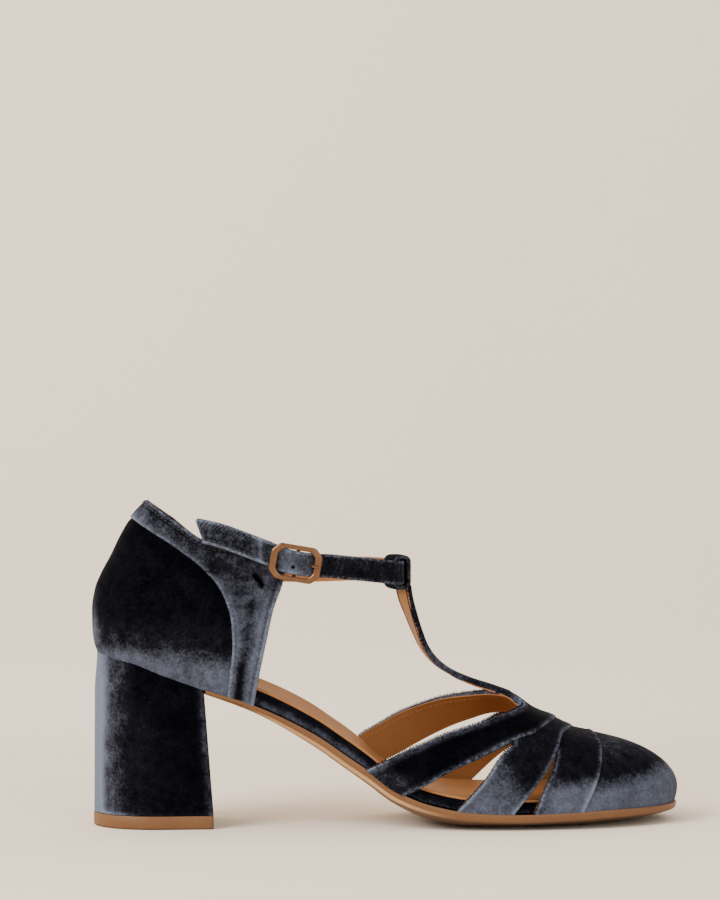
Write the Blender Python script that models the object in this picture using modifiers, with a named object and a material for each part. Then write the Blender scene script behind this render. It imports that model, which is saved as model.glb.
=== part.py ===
"""Heeled T-strap shoe for the right foot: velvet bands on a covered block heel and a leather sole.

All tables are in millimetres. A station is the distance along the foot from the back of the heel.
Heights are above the floor. The lateral (outer) side is -Y, the medial (inner) side +Y, the toe +X.
"""
import math
from collections import namedtuple

import bmesh
import bpy
import numpy as np
from mathutils import Matrix, Vector

# Driving sizes
MM = 0.001
GAP = 0.3
LAST_HEEL = 3.8
LAST_TOE = 235.6
HEEL_ROUND = 23.0
TOE_ROUND = 46.0
TOE_PLAN = 2.6
TOE_PLAN_ROOT = 0.46
TOE_DROP = 28.0
TOE_PROFILE = 2.4
TOE_TIP_HEIGHT = 13.0
TOE_SWING = 3.5
TOE_SWING_START = 165.0
TOE_OVERHANG = 1.6
TOE_BULGE = 7.0
FLANK_BULGE = 0.035
SOLE_OVERHANG = 2.6
SOLE_DISH = 1.8
DISH_SHAPE = 2.2
DISH_START = 20.0
DISH_RUN = 60.0
SOLE_TURN = 1.7
HEEL_HALF_WIDTH = 23.6
HEEL_BREAST = 43.6
HEEL_BREAST_FOOT = 47.6
HEEL_COVER = 2.0
HEEL_LEAN = 0.4
HEEL_SWELL = 0.9
HEEL_SWELL_RUN = 0.25
HEEL_TAPER = 2.4
LIFT_HEIGHT = 5.4
LIFT_OVERHANG = 0.2
BOARD_INSET = 0.4
SOCK_INSET = 1.2
SOCK_THICKNESS = 1.1
STRAP_WIDTH = 9.4
STRAP_THICKNESS = 2.0
SIDES = (-1, 1)

# Last bottom: half widths, rim of the sole, its edge, its underside and the footbed on it
Bottom = namedtuple("Bottom", "station lateral medial rim arch edge middle bevel board")
BOTTOM = (
    Bottom(0.0, 23.4, 23.4, 70.9, 0.0, 1.9, 68.4, 0.5, 6.0),
    Bottom(13.0, 23.4, 23.4, 67.9, 0.0, 1.9, 65.4, 0.5, 6.0),
    Bottom(27.0, 23.6, 23.4, 62.6, 0.0, 1.9, 60.0, 0.5, 6.2),
    Bottom(43.0, 24.0, 22.8, 56.8, 0.4, 1.9, 54.4, 0.8, 6.8),
    Bottom(64.0, 23.6, 20.6, 49.8, 1.4, 2.9, 46.2, 2.0, 7.6),
    Bottom(88.0, 23.6, 18.8, 38.1, 2.4, 4.8, 32.4, 3.0, 7.4),
    Bottom(101.0, 25.4, 20.0, 29.3, 2.4, 5.1, 23.2, 3.0, 7.4),
    Bottom(110.0, 27.6, 22.6, 23.2, 2.0, 5.1, 16.8, 2.6, 7.0),
    Bottom(120.0, 30.4, 26.4, 15.8, 1.2, 4.5, 9.4, 1.8, 6.4),
    Bottom(134.0, 34.0, 31.8, 10.2, 0.4, 3.9, 3.0, 0.8, 6.0),
    Bottom(150.0, 36.6, 36.2, 7.4, 0.0, 3.7, 0.0, 0.5, 5.8),
    Bottom(171.0, 37.4, 38.2, 6.5, 0.0, 3.4, 0.0, 0.4, 5.8),
    Bottom(190.0, 36.6, 37.4, 6.9, 0.0, 3.4, 0.0, 0.4, 5.6),
    Bottom(209.0, 34.4, 35.0, 7.5, 0.0, 3.2, 0.9, 0.4, 5.2),
    Bottom(239.0, 31.0, 31.0, 7.6, 0.0, 2.5, 4.4, 0.4, 4.6),
)

# Top of the last over the forefoot: ridge height, its side shift and the fullness of each flank
Ridge = namedtuple("Ridge", "station height shift lateral medial rise")
RIDGE = (
    Ridge(100.0, 72.0, 5.0, 1.15, 0.90, 1.00),
    Ridge(125.0, 66.5, 4.5, 1.12, 0.90, 1.00),
    Ridge(141.0, 61.2, 4.0, 1.08, 0.90, 1.00),
    Ridge(148.0, 58.4, 3.6, 1.06, 0.90, 1.00),
    Ridge(156.0, 55.0, 3.2, 1.04, 0.90, 1.00),
    Ridge(164.0, 52.0, 2.8, 1.00, 0.90, 0.98),
    Ridge(170.0, 49.2, 2.6, 0.98, 0.90, 0.97),
    Ridge(178.0, 43.6, 2.4, 0.95, 0.90, 0.95),
    Ridge(188.0, 39.2, 2.4, 0.92, 0.90, 0.92),
    Ridge(195.0, 35.8, 2.6, 0.90, 0.90, 0.90),
    Ridge(204.0, 33.8, 3.0, 0.88, 0.88, 0.90),
    Ridge(213.0, 31.8, 3.2, 0.88, 0.88, 0.90),
    Ridge(239.0, 27.6, 3.5, 0.88, 0.88, 0.90),
)

# Band edges: station of each rear and front edge by flank angle, 0 at the sole and 90 on the ridge
Flank = namedtuple("Flank", "angle back_1 front_1 back_2 front_2 back_3 front_3")
LATERAL_EDGES = (
    Flank(0, 109.0, 123.9, 144.5, 167.2, 175.2, 195.5),
    Flank(15, 120.1, 140.3, 155.3, 175.7, 179.5, 199.6),
    Flank(30, 136.7, 158.7, 163.2, 182.0, 183.7, 202.2),
    Flank(45, 155.1, 173.0, 173.0, 185.8, 185.8, 203.8),
    Flank(60, 168.0, 180.4, 180.4, 188.2, 188.2, 204.5),
    Flank(75, 172.5, 185.2, 185.2, 191.8, 191.8, 204.3),
    Flank(90, 173.0, 188.0, 188.0, 195.0, 195.0, 203.8),
)
MEDIAL_EDGES = (
    Flank(0, 105.5, 115.0, 137.0, 153.0, 166.0, 188.0),
    Flank(15, 114.0, 129.7, 147.5, 165.0, 171.8, 193.5),
    Flank(30, 125.6, 145.5, 156.5, 174.8, 177.2, 198.0),
    Flank(45, 141.2, 160.8, 164.5, 181.0, 181.0, 201.0),
    Flank(60, 156.3, 174.0, 174.0, 186.5, 186.5, 203.0),
    Flank(75, 167.0, 182.5, 182.5, 191.2, 191.2, 203.8),
    Flank(90, 173.0, 188.0, 188.0, 195.0, 195.0, 203.8),
)
# Cut-outs: flank angle of the apex on each side and the band edge met there
Opening = namedtuple("Opening", "lateral medial meets")
OPENINGS = {"back_2": Opening(37.0, 54.0, "front_1"), "back_3": Opening(42.0, 42.0, "front_2")}
FLANK_STEP = 6.0
T_STRAP_ANGLE = 78.0
RIDGE_ANGLE = 90.0
BAND_ROWS = 3
TOE_ROWS = 11
WALL_TOE = 1.7
WALL_BAND_3 = 2.1
WALL_BAND_2 = 2.5
WALL_BAND_1 = 2.9

# T-strap from the throat to the loop: rear face, half width and twist towards the inner side
Stem = namedtuple("Stem", "station height shift half_width twist")
T_STRAP = (
    Stem(169.0, 49.7, 2.7, 7.2, 1.0),
    Stem(163.2, 52.2, 3.0, 6.4, 3.0),
    Stem(154.6, 55.0, 3.4, 6.0, 6.0),
    Stem(145.8, 58.9, 3.7, 6.0, 8.0),
    Stem(138.8, 63.8, 4.0, 6.0, 10.0),
    Stem(134.3, 69.4, 4.4, 6.0, 11.0),
    Stem(131.2, 76.2, 4.9, 6.0, 12.0),
    Stem(128.6, 83.6, 5.4, 6.0, 13.0),
    Stem(126.6, 90.0, 6.0, 6.0, 16.0),
    Stem(125.6, 95.4, 6.4, 5.9, 18.0),
)
WALL_STEM = 2.3
LOOP_CENTRE = (124.2, 6.5, 101.1)
LOOP_INSIDE = (4.4, 10.6)
LOOP_WALL = 1.6
LOOP_TWIST = 18.0
LOOP_HALF_WIDTH = 5.6
LOOP_CORNER = 1.2

# Heel cup: rear line of the last by height, and the flank from footbed to collar
Rear = namedtuple("Rear", "height station")
REAR = (
    Rear(40.0, 3.8),
    Rear(70.6, 3.7),
    Rear(73.8, 2.6),
    Rear(80.0, 1.8),
    Rear(87.2, 1.7),
    Rear(95.2, 2.9),
    Rear(100.3, 4.9),
    Rear(108.0, 9.0),
    Rear(116.6, 13.2),
    Rear(123.0, 17.1),
    Rear(129.8, 23.3),
    Rear(140.0, 32.0),
)
Collar = namedtuple("Collar", "station half_width")
COLLAR = (Collar(0.0, 20.0), Collar(30.0, 20.5), Collar(50.0, 23.5), Collar(90.0, 28.0))
COLLAR_RISE = 55.0
SEAT_HEIGHT = 60.0
FLANK_SWELL = 2.4
SWELL_HEIGHT = 46.0
COLLAR_ROUND = 17.0
FLANK_UNIT = 50.0

# Seam of the counter and free edge of the quarter, matched row by row from the rear to the sole
Panel = namedtuple("Panel", "row seam_station seam_height edge_station edge_height medial_drop")
PANEL = (
    Panel(0, 17.1, 123.0, 23.3, 129.8, 0.0),
    Panel(1, 31.7, 113.7, 32.5, 123.6, 0.0),
    Panel(2, 43.0, 105.2, 48.0, 114.6, 2.0),
    Panel(3, 48.4, 98.8, 77.0, 110.8, 6.0),
    Panel(4, 51.4, 93.6, 75.2, 99.6, 3.0),
    Panel(5, 54.3, 83.8, 71.2, 88.0, 1.0),
    Panel(6, 54.8, 74.4, 68.6, 76.5, 0.0),
    Panel(7, 53.8, 62.1, 66.1, 64.5, 0.0),
    Panel(8, 52.9, 53.0, 63.6, 50.0, 0.0),
)
PANEL_CORNER = 3.0
COUNTER_COLUMNS = 12
COUNTER_ROWS = 10
PANEL_ROWS = 3
WALL_COUNTER = 2.0
WALL_QUARTER = 2.5

# Ankle strap from the tail to the inner quarter: its centre line
Strap = namedtuple("Strap", "station side height")
STRAP = (
    Strap(41.6, -26.2, 120.3),
    Strap(48.8, -27.4, 118.7),
    Strap(58.2, -28.7, 115.4),
    Strap(67.3, -29.7, 111.9),
    Strap(72.9, -30.3, 109.6),
    Strap(76.5, -31.4, 108.2),
    Strap(80.4, -32.1, 107.4),
    Strap(84.0, -31.6, 106.8),
    Strap(86.8, -30.7, 106.5),
    Strap(89.8, -30.0, 106.2),
    Strap(93.5, -28.9, 106.0),
    Strap(100.5, -25.4, 105.1),
    Strap(108.0, -20.2, 104.0),
    Strap(115.0, -14.2, 102.9),
    Strap(121.2, -7.6, 101.8),
    Strap(124.9, -1.6, 101.2),
    Strap(125.6, 2.6, 101.1),
    Strap(124.8, 6.8, 101.1),
    Strap(122.2, 12.6, 101.3),
    Strap(113.6, 21.4, 101.5),
    Strap(101.0, 27.4, 100.8),
    Strap(89.0, 30.4, 100.3),
    Strap(77.0, 30.8, 100.5),
    Strap(64.0, 29.5, 101.6),
    Strap(58.0, 28.8, 102.4),
)
STRAP_STEPS = 3
STRAP_EDGE = 0.44
STRAP_EDGE_THICKNESS = 0.7
TAIL_SLANT = 4.4

# Buckle on the outer side: frame, cranked centre bar, prong and the tab that holds the bar
BUCKLE_CENTRE = (79.7, -32.9, 107.4)
BUCKLE_SIZE = (20.8, 14.6)
BUCKLE_SIDE_BAR = 2.9
BUCKLE_LONG_BAR = 2.0
BUCKLE_CHAMFER = 3.2
CHAMFER_SHRINK = 0.586
BUCKLE_THICKNESS = 1.7
BUCKLE_TILT = 10.0
BUCKLE_EDGE = 0.35
WIRE_SIDES = 8
BAR_RADIUS = 0.8
BAR_ALONG = 0.7
BAR_DEPTH = 4.4
POST_HEIGHT = 6.2
POST_CORNER = 1.3
PRONG_RADIUS = 0.5
PRONG_RING = 1.6
PRONG_SHANK = ((4.3, -3.5), (6.9, 1.4), (9.6, 1.75))
HOLE_RADIUS = 0.95
HOLE_START = (3.8, -4.4)
HOLE_END = (7.3, 2.2)
TAB_HALF_WIDTH = 3.6
TAB_THICKNESS = 1.0
TAB_LEG = ((-8.3, -7.7), (-3.2, -7.15))
TAB_END = (-1.4, -3.0)
SLOT_ALONG = (-1.9, 3.4)
SLOT_UP = (-1.5, 1.5)
SLOT_OUT = (-7.4, -1.6)

Finish = namedtuple("Finish", "colour roughness metallic")
VELVET = Finish((0.012, 0.014, 0.022), 0.9, 0.0)
TAN_LEATHER = Finish((0.38, 0.15, 0.045), 0.55, 0.0)
INSOLE_LEATHER = Finish((0.45, 0.20, 0.07), 0.6, 0.0)
COPPER = Finish((0.48, 0.20, 0.07), 0.4, 1.0)


def curve(rows, column, at):
    """Value of a table column on a monotone cubic through its rows, keyed by the first column."""
    xs = np.array([row[0] for row in rows], float)
    ys = np.array([getattr(row, column) for row in rows], float)
    span = np.diff(xs)
    slope = np.diff(ys) / span
    tangent = np.zeros_like(ys)
    tangent[0], tangent[-1] = slope[0], slope[-1]
    for k in range(1, len(xs) - 1):
        if slope[k - 1] * slope[k] > 0:
            before = 2 * span[k] + span[k - 1]
            after = span[k] + 2 * span[k - 1]
            tangent[k] = (before + after) / (before / slope[k - 1] + after / slope[k])
    at = min(max(at, xs[0]), xs[-1])
    k = min(max(int(np.searchsorted(xs, at)) - 1, 0), len(xs) - 2)
    t = (at - xs[k]) / span[k]
    start = (1 + 2 * t) * (1 - t) ** 2 * ys[k] + t * (1 - t) ** 2 * span[k] * tangent[k]
    end = t * t * (3 - 2 * t) * ys[k + 1] + t * t * (t - 1) * span[k] * tangent[k + 1]
    return float(start + end)


def ease(t):
    """Smooth step from 0 to 1."""
    t = min(max(t, 0.0), 1.0)
    return t * t * (3 - 2 * t)


def toe_swing(station):
    """Sideways lean of the forefoot towards the inner side."""
    return TOE_SWING * ease((station - TOE_SWING_START) / (LAST_TOE - TOE_SWING_START))


def fullness(station, grow=0.0):
    """Share of the full width that the rounded heel and toe leave, 0 at both ends."""
    share = 1.0
    heel = (station - LAST_HEEL + grow) / (HEEL_ROUND + grow)
    if heel < 1:
        share *= math.sqrt(max(0.0, 1 - (1 - max(heel, 0.0)) ** 2))
    toe = (station - LAST_TOE + TOE_ROUND) / (TOE_ROUND + grow)
    if toe > 0:
        share *= max(0.0, 1 - min(toe, 1.0) ** TOE_PLAN) ** TOE_PLAN_ROOT
    return share


def half_width(station, side, grow=0.0):
    """Half width of the last bottom, grown outwards, with its heel and toe rounded off."""
    width = curve(BOTTOM, "lateral" if side < 0 else "medial", station) + grow
    return width * fullness(station, grow)


def outline(station, fraction, grow=0.0):
    """Side position of a fraction (-1 to 1) of the bottom's width at a station."""
    side = -1 if fraction < 0 else 1
    return fraction * half_width(station, side, grow) + toe_swing(station)


def rim(station, fraction):
    """Height of the sole's upper face: rim, raised inner arch and shallow dish between."""
    arch = curve(BOTTOM, "arch", station) * max(0.0, fraction)
    dish = SOLE_DISH * (1 - abs(fraction) ** DISH_SHAPE) * fullness(station)
    return curve(BOTTOM, "rim", station) + arch - dish * ease((station - DISH_START) / DISH_RUN)


def stations(start, end, grow, count):
    """Stations from start to end, closer together where the heel and the toe round off."""
    first = LAST_HEEL - grow
    last = LAST_TOE + grow
    values = set()
    for k in range(9):
        turn = math.radians(90.0 * k / 8)
        values.add(round(first + (HEEL_ROUND + grow) * (1 - math.cos(turn)), 4))
        values.add(round(last - TOE_DROP * (1 - math.cos(turn)) * 1.2, 4))
    inner_start = first + HEEL_ROUND + grow
    inner_end = last - TOE_DROP * 1.2
    for k in range(1, count):
        values.add(round(inner_start + (inner_end - inner_start) * k / count, 4))
    return [start] + sorted(v for v in values if start + 0.4 < v < end - 0.4) + [end]


def mesh_from_faces(name, faces):
    """Mesh of faces given by corner points in millimetres, with shared corners welded."""
    index = {}
    points = []
    polygons = []
    for face in faces:
        corners = []
        for point in face:
            key = tuple(round(value, 3) for value in point)
            if key not in index:
                index[key] = len(points)
                points.append(Vector(point) * MM)
            if index[key] not in corners:
                corners.append(index[key])
        if len(corners) > 2:
            polygons.append(corners)
    mesh = bpy.data.meshes.new(name)
    mesh.from_pydata(points, [], polygons)
    work = bmesh.new()
    work.from_mesh(mesh)
    bmesh.ops.recalc_face_normals(work, faces=work.faces)
    bmesh.ops.triangulate(work, faces=[f for f in work.faces if len(f.verts) > 3])
    work.to_mesh(mesh)
    work.free()
    return mesh


def grid_faces(grid):
    """Quads of a grid of points."""
    faces = []
    for row, ahead in zip(grid, grid[1:]):
        for k in range(len(row) - 1):
            faces.append((row[k], row[k + 1], ahead[k + 1], ahead[k]))
    return faces


def loft(levels):
    """Faces of a solid whose stacked levels are grids of equal size, closed at both ends and sides."""
    faces = grid_faces(levels[0]) + grid_faces(levels[-1])
    for low, high in zip(levels, levels[1:]):
        borders = [(low[0], high[0]), (low[-1], high[-1])]
        for column in (0, -1):
            borders.append(([row[column] for row in low], [row[column] for row in high]))
        for below, above in borders:
            faces += grid_faces([below, above])
    return faces


def shell(patches):
    """Faces of a hollow wall: patches are (grid on the inner face, wall thickness)."""
    index = {}
    points = []
    quads = []
    for grid, wall in patches:
        for face in grid_faces(grid):
            corners = []
            for point in reversed(face):
                key = tuple(round(value, 3) for value in point)
                if key not in index:
                    index[key] = len(points)
                    points.append(Vector(point))
                if index[key] not in corners:
                    corners.append(index[key])
            if len(corners) > 2:
                quads.append((corners, wall))
    normals = wall_normals(points, quads)
    outer = [[(corner, wall) for corner in corners] for corners, wall in quads]
    outer += risers(outer)
    faces = [[points[corner] for corner in reversed(corners)] for corners, wall in quads]
    borders = open_edges(outer)
    for (a, wall_a), (b, wall_b) in borders:
        outer_a = outer_point(points[a], normals[a], wall_a)
        outer_b = outer_point(points[b], normals[b], wall_b)
        faces.append([outer_a, points[a], points[b], outer_b])
    faces += [[outer_point(points[c], normals[c], wall) for c, wall in face] for face in outer]
    return faces


def outer_point(point, normal, wall):
    """Outer face of a wall; along the sole it is level with the inner face, clear of the rim."""
    side = -1 if point.y < 0 else 1
    if abs(point.z - rim(point.x, side) - GAP) > 0.02:
        return point + normal * wall
    place = point + Vector((normal.x, normal.y, 0.0)).normalized() * wall
    place.z = rim(place.x, side) + GAP
    return place


def wall_normals(points, quads):
    """Outward direction at each point of a wall, averaged over its faces."""
    normals = [Vector((0, 0, 0)) for point in points]
    for corners, wall in quads:
        centre = sum((points[c] for c in corners), Vector()) / len(corners)
        normal = Vector()
        for a, b in zip(corners, corners[1:] + corners[:1]):
            normal += (points[a] - centre).cross(points[b] - centre)
        for corner in corners:
            normals[corner] += normal
    return [normal.normalized() for normal in normals]


def open_edges(faces):
    """Directed edges of a face list that no neighbour runs the other way."""
    edges = {}
    for face in faces:
        for pair in zip(face, face[1:] + face[:1]):
            edges[pair] = edges.get(pair, 0) + 1
    return [pair for pair in edges if (pair[1], pair[0]) not in edges]


def risers(outer):
    """Small step faces where two patches of different thickness share an edge."""
    by_place = {(a[0], b[0]): (a, b) for a, b in open_edges(outer)}
    steps = []
    for (a, b), (start, end) in by_place.items():
        if (b, a) in by_place and a < b:
            far_start, far_end = by_place[(b, a)]
            steps.append([end, start, far_end, far_start])
    return steps


def add_object(name, mesh, finish, collection):
    """Object with its own finish, shaded smooth except over sharp edges."""
    material = bpy.data.materials.new(name + "_finish")
    material.use_nodes = True
    shader = material.node_tree.nodes["Principled BSDF"]
    shader.inputs["Base Color"].default_value = (*finish.colour, 1.0)
    shader.inputs["Roughness"].default_value = finish.roughness
    shader.inputs["Metallic"].default_value = finish.metallic
    mesh.materials.clear()
    mesh.materials.append(material)
    mesh.shade_smooth()
    mesh.set_sharp_from_angle(angle=math.radians(35.0))
    part = bpy.data.objects.new(name, mesh)
    collection.objects.link(part)
    return part


def slab(start, end, grow, count, fractions, levels):
    """Stacked levels over the bottom's outline: each level gives an inset and a height rule."""
    rows = stations(start, end, grow, count)
    stack = []
    for inset, height in levels:
        grid = []
        for station in rows:
            pull = inset(station)
            at = min(max(station, LAST_HEEL - grow + pull), LAST_TOE + grow - pull)
            tip = fullness(at, grow - pull) < 0.002
            row = [(at, outline(at, f, grow - pull), height(at, 1 if tip else f)) for f in fractions]
            grid.append(row)
        stack.append(grid)
    return loft(stack)


# Sole, footbed and heel

def build_outsole(collection):
    """Leather sole: bevelled waist, flat tread under the ball and toe spring."""
    def underside(station, fraction):
        low = curve(BOTTOM, "middle", station)
        high = curve(BOTTOM, "rim", station) - curve(BOTTOM, "edge", station)
        high += curve(BOTTOM, "arch", station) * max(0.0, fraction)
        return low + (high - low) * max(0.0, abs(fraction) * 2 - 1) ** SOLE_TURN

    def side(station, fraction):
        return rim(station, fraction) - 0.5 * curve(BOTTOM, "edge", station)

    fractions = (-1, -0.92, -0.8, -0.66, -0.5, -0.25, 0, 0.25, 0.5, 0.66, 0.8, 0.92, 1)
    faces = slab(HEEL_BREAST + 2 * GAP, LAST_TOE + SOLE_OVERHANG, SOLE_OVERHANG, 26, fractions, (
        (lambda s: curve(BOTTOM, "bevel", s), underside),
        (lambda s: 0.0, side),
        (lambda s: 0.0, rim),
    ))
    add_object("outsole", mesh_from_faces("outsole", faces), TAN_LEATHER, collection)


def board_top(station, fraction):
    """Upper face of the footbed."""
    return rim(station, fraction) + curve(BOTTOM, "board", station) - SOCK_THICKNESS - GAP


def build_insole_board(collection):
    """Velvet-covered footbed with a rounded edge."""
    fractions = (-1, -0.85, -0.6, -0.3, 0, 0.3, 0.6, 0.85, 1)
    faces = slab(LAST_HEEL + BOARD_INSET, LAST_TOE - BOARD_INSET, -BOARD_INSET, 22, fractions, (
        (lambda s: 0.4, lambda s, f: rim(s, f) + GAP),
        (lambda s: 0.0, lambda s, f: rim(s, f) + GAP + 1.0),
        (lambda s: 0.0, lambda s, f: board_top(s, f) - 1.0),
        (lambda s: 0.6, board_top),
    ))
    add_object("insole_board", mesh_from_faces("insole_board", faces), VELVET, collection)


def build_sock_lining(collection):
    """Leather sheet on the footbed."""
    fractions = (-1, -0.7, -0.35, 0, 0.35, 0.7, 1)
    faces = slab(LAST_HEEL + SOCK_INSET, LAST_TOE - SOCK_INSET, -SOCK_INSET, 20, fractions, (
        (lambda s: 0.0, lambda s, f: board_top(s, f) + GAP),
        (lambda s: 0.4, lambda s, f: board_top(s, f) + GAP + SOCK_THICKNESS),
    ))
    add_object("sock_lining", mesh_from_faces("sock_lining", faces), INSOLE_LEATHER, collection)


def heel_level(drop, grow, height):
    """Grid of one heel level: rounded back, straight breast; drop is 0 at the seat and 1 at the foot."""
    front = HEEL_BREAST + (HEEL_BREAST_FOOT - HEEL_BREAST) * drop
    back = LAST_HEEL - grow - HEEL_LEAN * drop - HEEL_SWELL * ease(drop / HEEL_SWELL_RUN)
    reach = HEEL_ROUND + grow
    rows = [back + reach * (1 - math.cos(math.radians(10.0 * k))) for k in range(10)]
    rows += [back + reach + (front - back - reach) * k / 4 for k in range(1, 5)]
    grid = []
    for station in rows:
        seat = min(max(station, LAST_HEEL - grow), LAST_TOE)
        row = []
        for fraction in (-1, -0.8, -0.4, 0, 0.4, 0.8, 1):
            turn = min((station - back) / reach, 1.0)
            width = HEEL_HALF_WIDTH + grow - HEEL_TAPER * drop
            place = fraction * width * math.sqrt(max(0.0, 1 - (1 - turn) ** 2))
            row.append((station, place, height(seat, fraction)))
        grid.append(row)
    return grid


def build_heel(collection):
    """Block heel under the seat."""
    def between(share):
        return lambda s, f: (rim(s, f) - GAP) * (1 - share) + (LIFT_HEIGHT + GAP) * share

    levels = [heel_level(share, HEEL_COVER, between(share)) for share in (1.0, 0.75, 0.5, 0.25, 0.0)]
    add_object("heel", mesh_from_faces("heel", loft(levels)), VELVET, collection)


def build_heel_top_lift(collection):
    """Lift that the heel stands on."""
    grow = HEEL_COVER + LIFT_OVERHANG
    rows = ((grow - 0.5, 0.0), (grow, 0.5), (grow, LIFT_HEIGHT))
    levels = [heel_level(1.0, width, lambda s, f, z=z: z) for width, z in rows]
    add_object("heel_top_lift", mesh_from_faces("heel_top_lift", loft(levels)), TAN_LEATHER, collection)


# Upper over the forefoot

def vamp_point(station, angle, side):
    """Inner face of the upper at a station and flank angle (0 at the sole, 90 on the ridge)."""
    turn = math.radians(angle)
    full = curve(RIDGE, "lateral" if side < 0 else "medial", station)
    out = max(math.cos(turn), 0.0) ** full
    low = rim(station, side) + GAP
    drop = min(max((station - LAST_TOE + TOE_DROP) / TOE_DROP, 0.0), 1.0)
    high = curve(RIDGE, "height", station)
    high = TOE_TIP_HEIGHT + (high - TOE_TIP_HEIGHT) * math.sqrt(max(0.0, 1 - drop ** TOE_PROFILE))
    swell = 1 + FLANK_BULGE * math.sin(2 * turn)
    foot = side * half_width(station, side) * swell + toe_swing(station)
    y = foot * out + curve(RIDGE, "shift", station) * (1 - out)
    z = low + (high - low) * math.sin(turn) ** curve(RIDGE, "rise", station)
    bulge = min((z - low) / TOE_BULGE, 1.0)
    return (station + TOE_OVERHANG * drop ** 2 * bulge * (2 - bulge), y, z)


def edge_station(column, angle, side):
    """Station of a band edge at a flank angle; above a cut-out's apex it is the next band's edge."""
    opening = OPENINGS.get(column)
    if opening and angle >= (opening.lateral if side < 0 else opening.medial):
        column = opening.meets
    return curve(LATERAL_EDGES if side < 0 else MEDIAL_EDGES, column, angle)


def vamp_angles():
    """Flank angles of the grid, ending with the T-strap's edge and the ridge."""
    angles = list(np.arange(0.0, T_STRAP_ANGLE + 0.1, FLANK_STEP))
    return angles + [(T_STRAP_ANGLE + RIDGE_ANGLE) / 2, RIDGE_ANGLE]


def band_grid(rear, front, side, rows):
    """Grid between two edges given as station rules of the flank angle."""
    grid = []
    for share in rows:
        row = []
        for angle in vamp_angles():
            station = rear(angle) * (1 - share) + front(angle) * share
            row.append(vamp_point(station, angle, side))
        grid.append(row if side < 0 else row[::-1])
    return grid


def vamp_patches(side):
    """Bands and toe of one side, each with its wall."""
    even = [k / BAND_ROWS for k in range(BAND_ROWS + 1)]
    toe = [math.sin(math.radians(90.0 * k / TOE_ROWS)) for k in range(TOE_ROWS + 1)]

    def edge(column):
        return lambda angle: edge_station(column, angle, side)

    return [
        (band_grid(edge("back_1"), edge("front_1"), side, even), WALL_BAND_1),
        (band_grid(edge("back_2"), edge("front_2"), side, even), WALL_BAND_2),
        (band_grid(edge("back_3"), edge("front_3"), side, even), WALL_BAND_3),
        (band_grid(edge("front_3"), lambda angle: LAST_TOE, side, toe), WALL_TOE),
    ]


def stem_patch(lateral, medial):
    """T-strap grid that grows out of band 1 on both sides."""
    first = lateral[0][-3:] + medial[0][1:3]
    grid = [first]
    shares = (-1.0, -0.5, 0.0, 0.5, 1.0)
    for k, row in enumerate(T_STRAP):
        ahead = T_STRAP[min(k + 1, len(T_STRAP) - 1)]
        behind = T_STRAP[max(k - 1, 0)]
        along = Vector((ahead.station - behind.station, 0, ahead.height - behind.height)).normalized()
        across = Matrix.Rotation(math.radians(row.twist), 3, along) @ Vector((0, 1, 0))
        centre = Vector((row.station, row.shift, row.height))
        grid.append([tuple(centre + across * row.half_width * share) for share in shares])
    return (grid[::-1], WALL_STEM)


def rounded_rectangle(width, height, corner, steps=4):
    """Points of a rounded rectangle about the origin."""
    points = []
    for k in range(4):
        turn = math.radians(90.0 * k)
        cx = (width / 2 - corner) * (1 if k in (0, 3) else -1)
        cz = (height / 2 - corner) * (1 if k in (0, 1) else -1)
        for j in range(steps + 1):
            angle = turn + math.radians(90.0 * j / steps)
            points.append((cx + corner * math.cos(angle), cz + corner * math.sin(angle)))
    return points


def loop_faces():
    """Loop at the top of the T-strap, open across for the ankle strap."""
    inside = rounded_rectangle(*LOOP_INSIDE, LOOP_CORNER)
    size = [value + 2 * LOOP_WALL for value in LOOP_INSIDE]
    outside = rounded_rectangle(*size, LOOP_CORNER + LOOP_WALL)
    turn = Matrix.Rotation(math.radians(LOOP_TWIST), 3, "Z")
    centre = Vector(LOOP_CENTRE)

    def ring(points, place):
        loop = [tuple(centre + turn @ Vector((x, place, z))) for x, z in points]
        return loop + loop[:1]

    rings = [ring(outside, -LOOP_HALF_WIDTH), ring(outside, LOOP_HALF_WIDTH),
             ring(inside, LOOP_HALF_WIDTH), ring(inside, -LOOP_HALF_WIDTH)]
    return grid_faces(rings + rings[:1])


def build_vamp(collection, cutters):
    """Toe, bands, T-strap and loop in one hollow solid."""
    lateral = vamp_patches(-1)
    medial = vamp_patches(1)
    stem = stem_patch(lateral[0][0], medial[0][0])
    faces = shell(lateral + medial + [stem])
    vamp = add_object("vamp", mesh_from_faces("vamp", faces), VELVET, collection)
    loop = add_object("vamp_loop", mesh_from_faces("vamp_loop", loop_faces()), VELVET, cutters)
    join(vamp, loop, "UNION")


def join(part, tool, operation):
    """Boolean of a helper body on a part."""
    tool.hide_render = True
    tool.display_type = "WIRE"
    cut = part.modifiers.new(operation.lower(), "BOOLEAN")
    cut.operation = operation
    cut.object = tool
    cut.solver = "EXACT"


# Heel cup

def cup_point(reach, height, side):
    """Inner face of the heel cup: reach 0 at the rear line, 1 where the flank begins."""
    rear = curve(REAR, "station", height)
    lift = height - SEAT_HEIGHT
    radius = HEEL_ROUND + (COLLAR_ROUND - HEEL_ROUND) * ease(lift / COLLAR_RISE)
    turn = math.radians(90.0 * min(reach, 1.0))
    station = rear + radius * (1 - math.cos(turn)) + FLANK_UNIT * max(reach - 1.0, 0.0)
    rise = height - rim(station, side)
    foot = curve(BOTTOM, "lateral" if side < 0 else "medial", station)
    collar = curve(COLLAR, "half_width", station)
    width = foot + (collar - foot) * ease(rise / COLLAR_RISE)
    width += FLANK_SWELL * math.sin(math.pi * min(max(rise / SWELL_HEIGHT, 0.0), 1.0))
    return (station, side * width * math.sin(turn), height)


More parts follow.
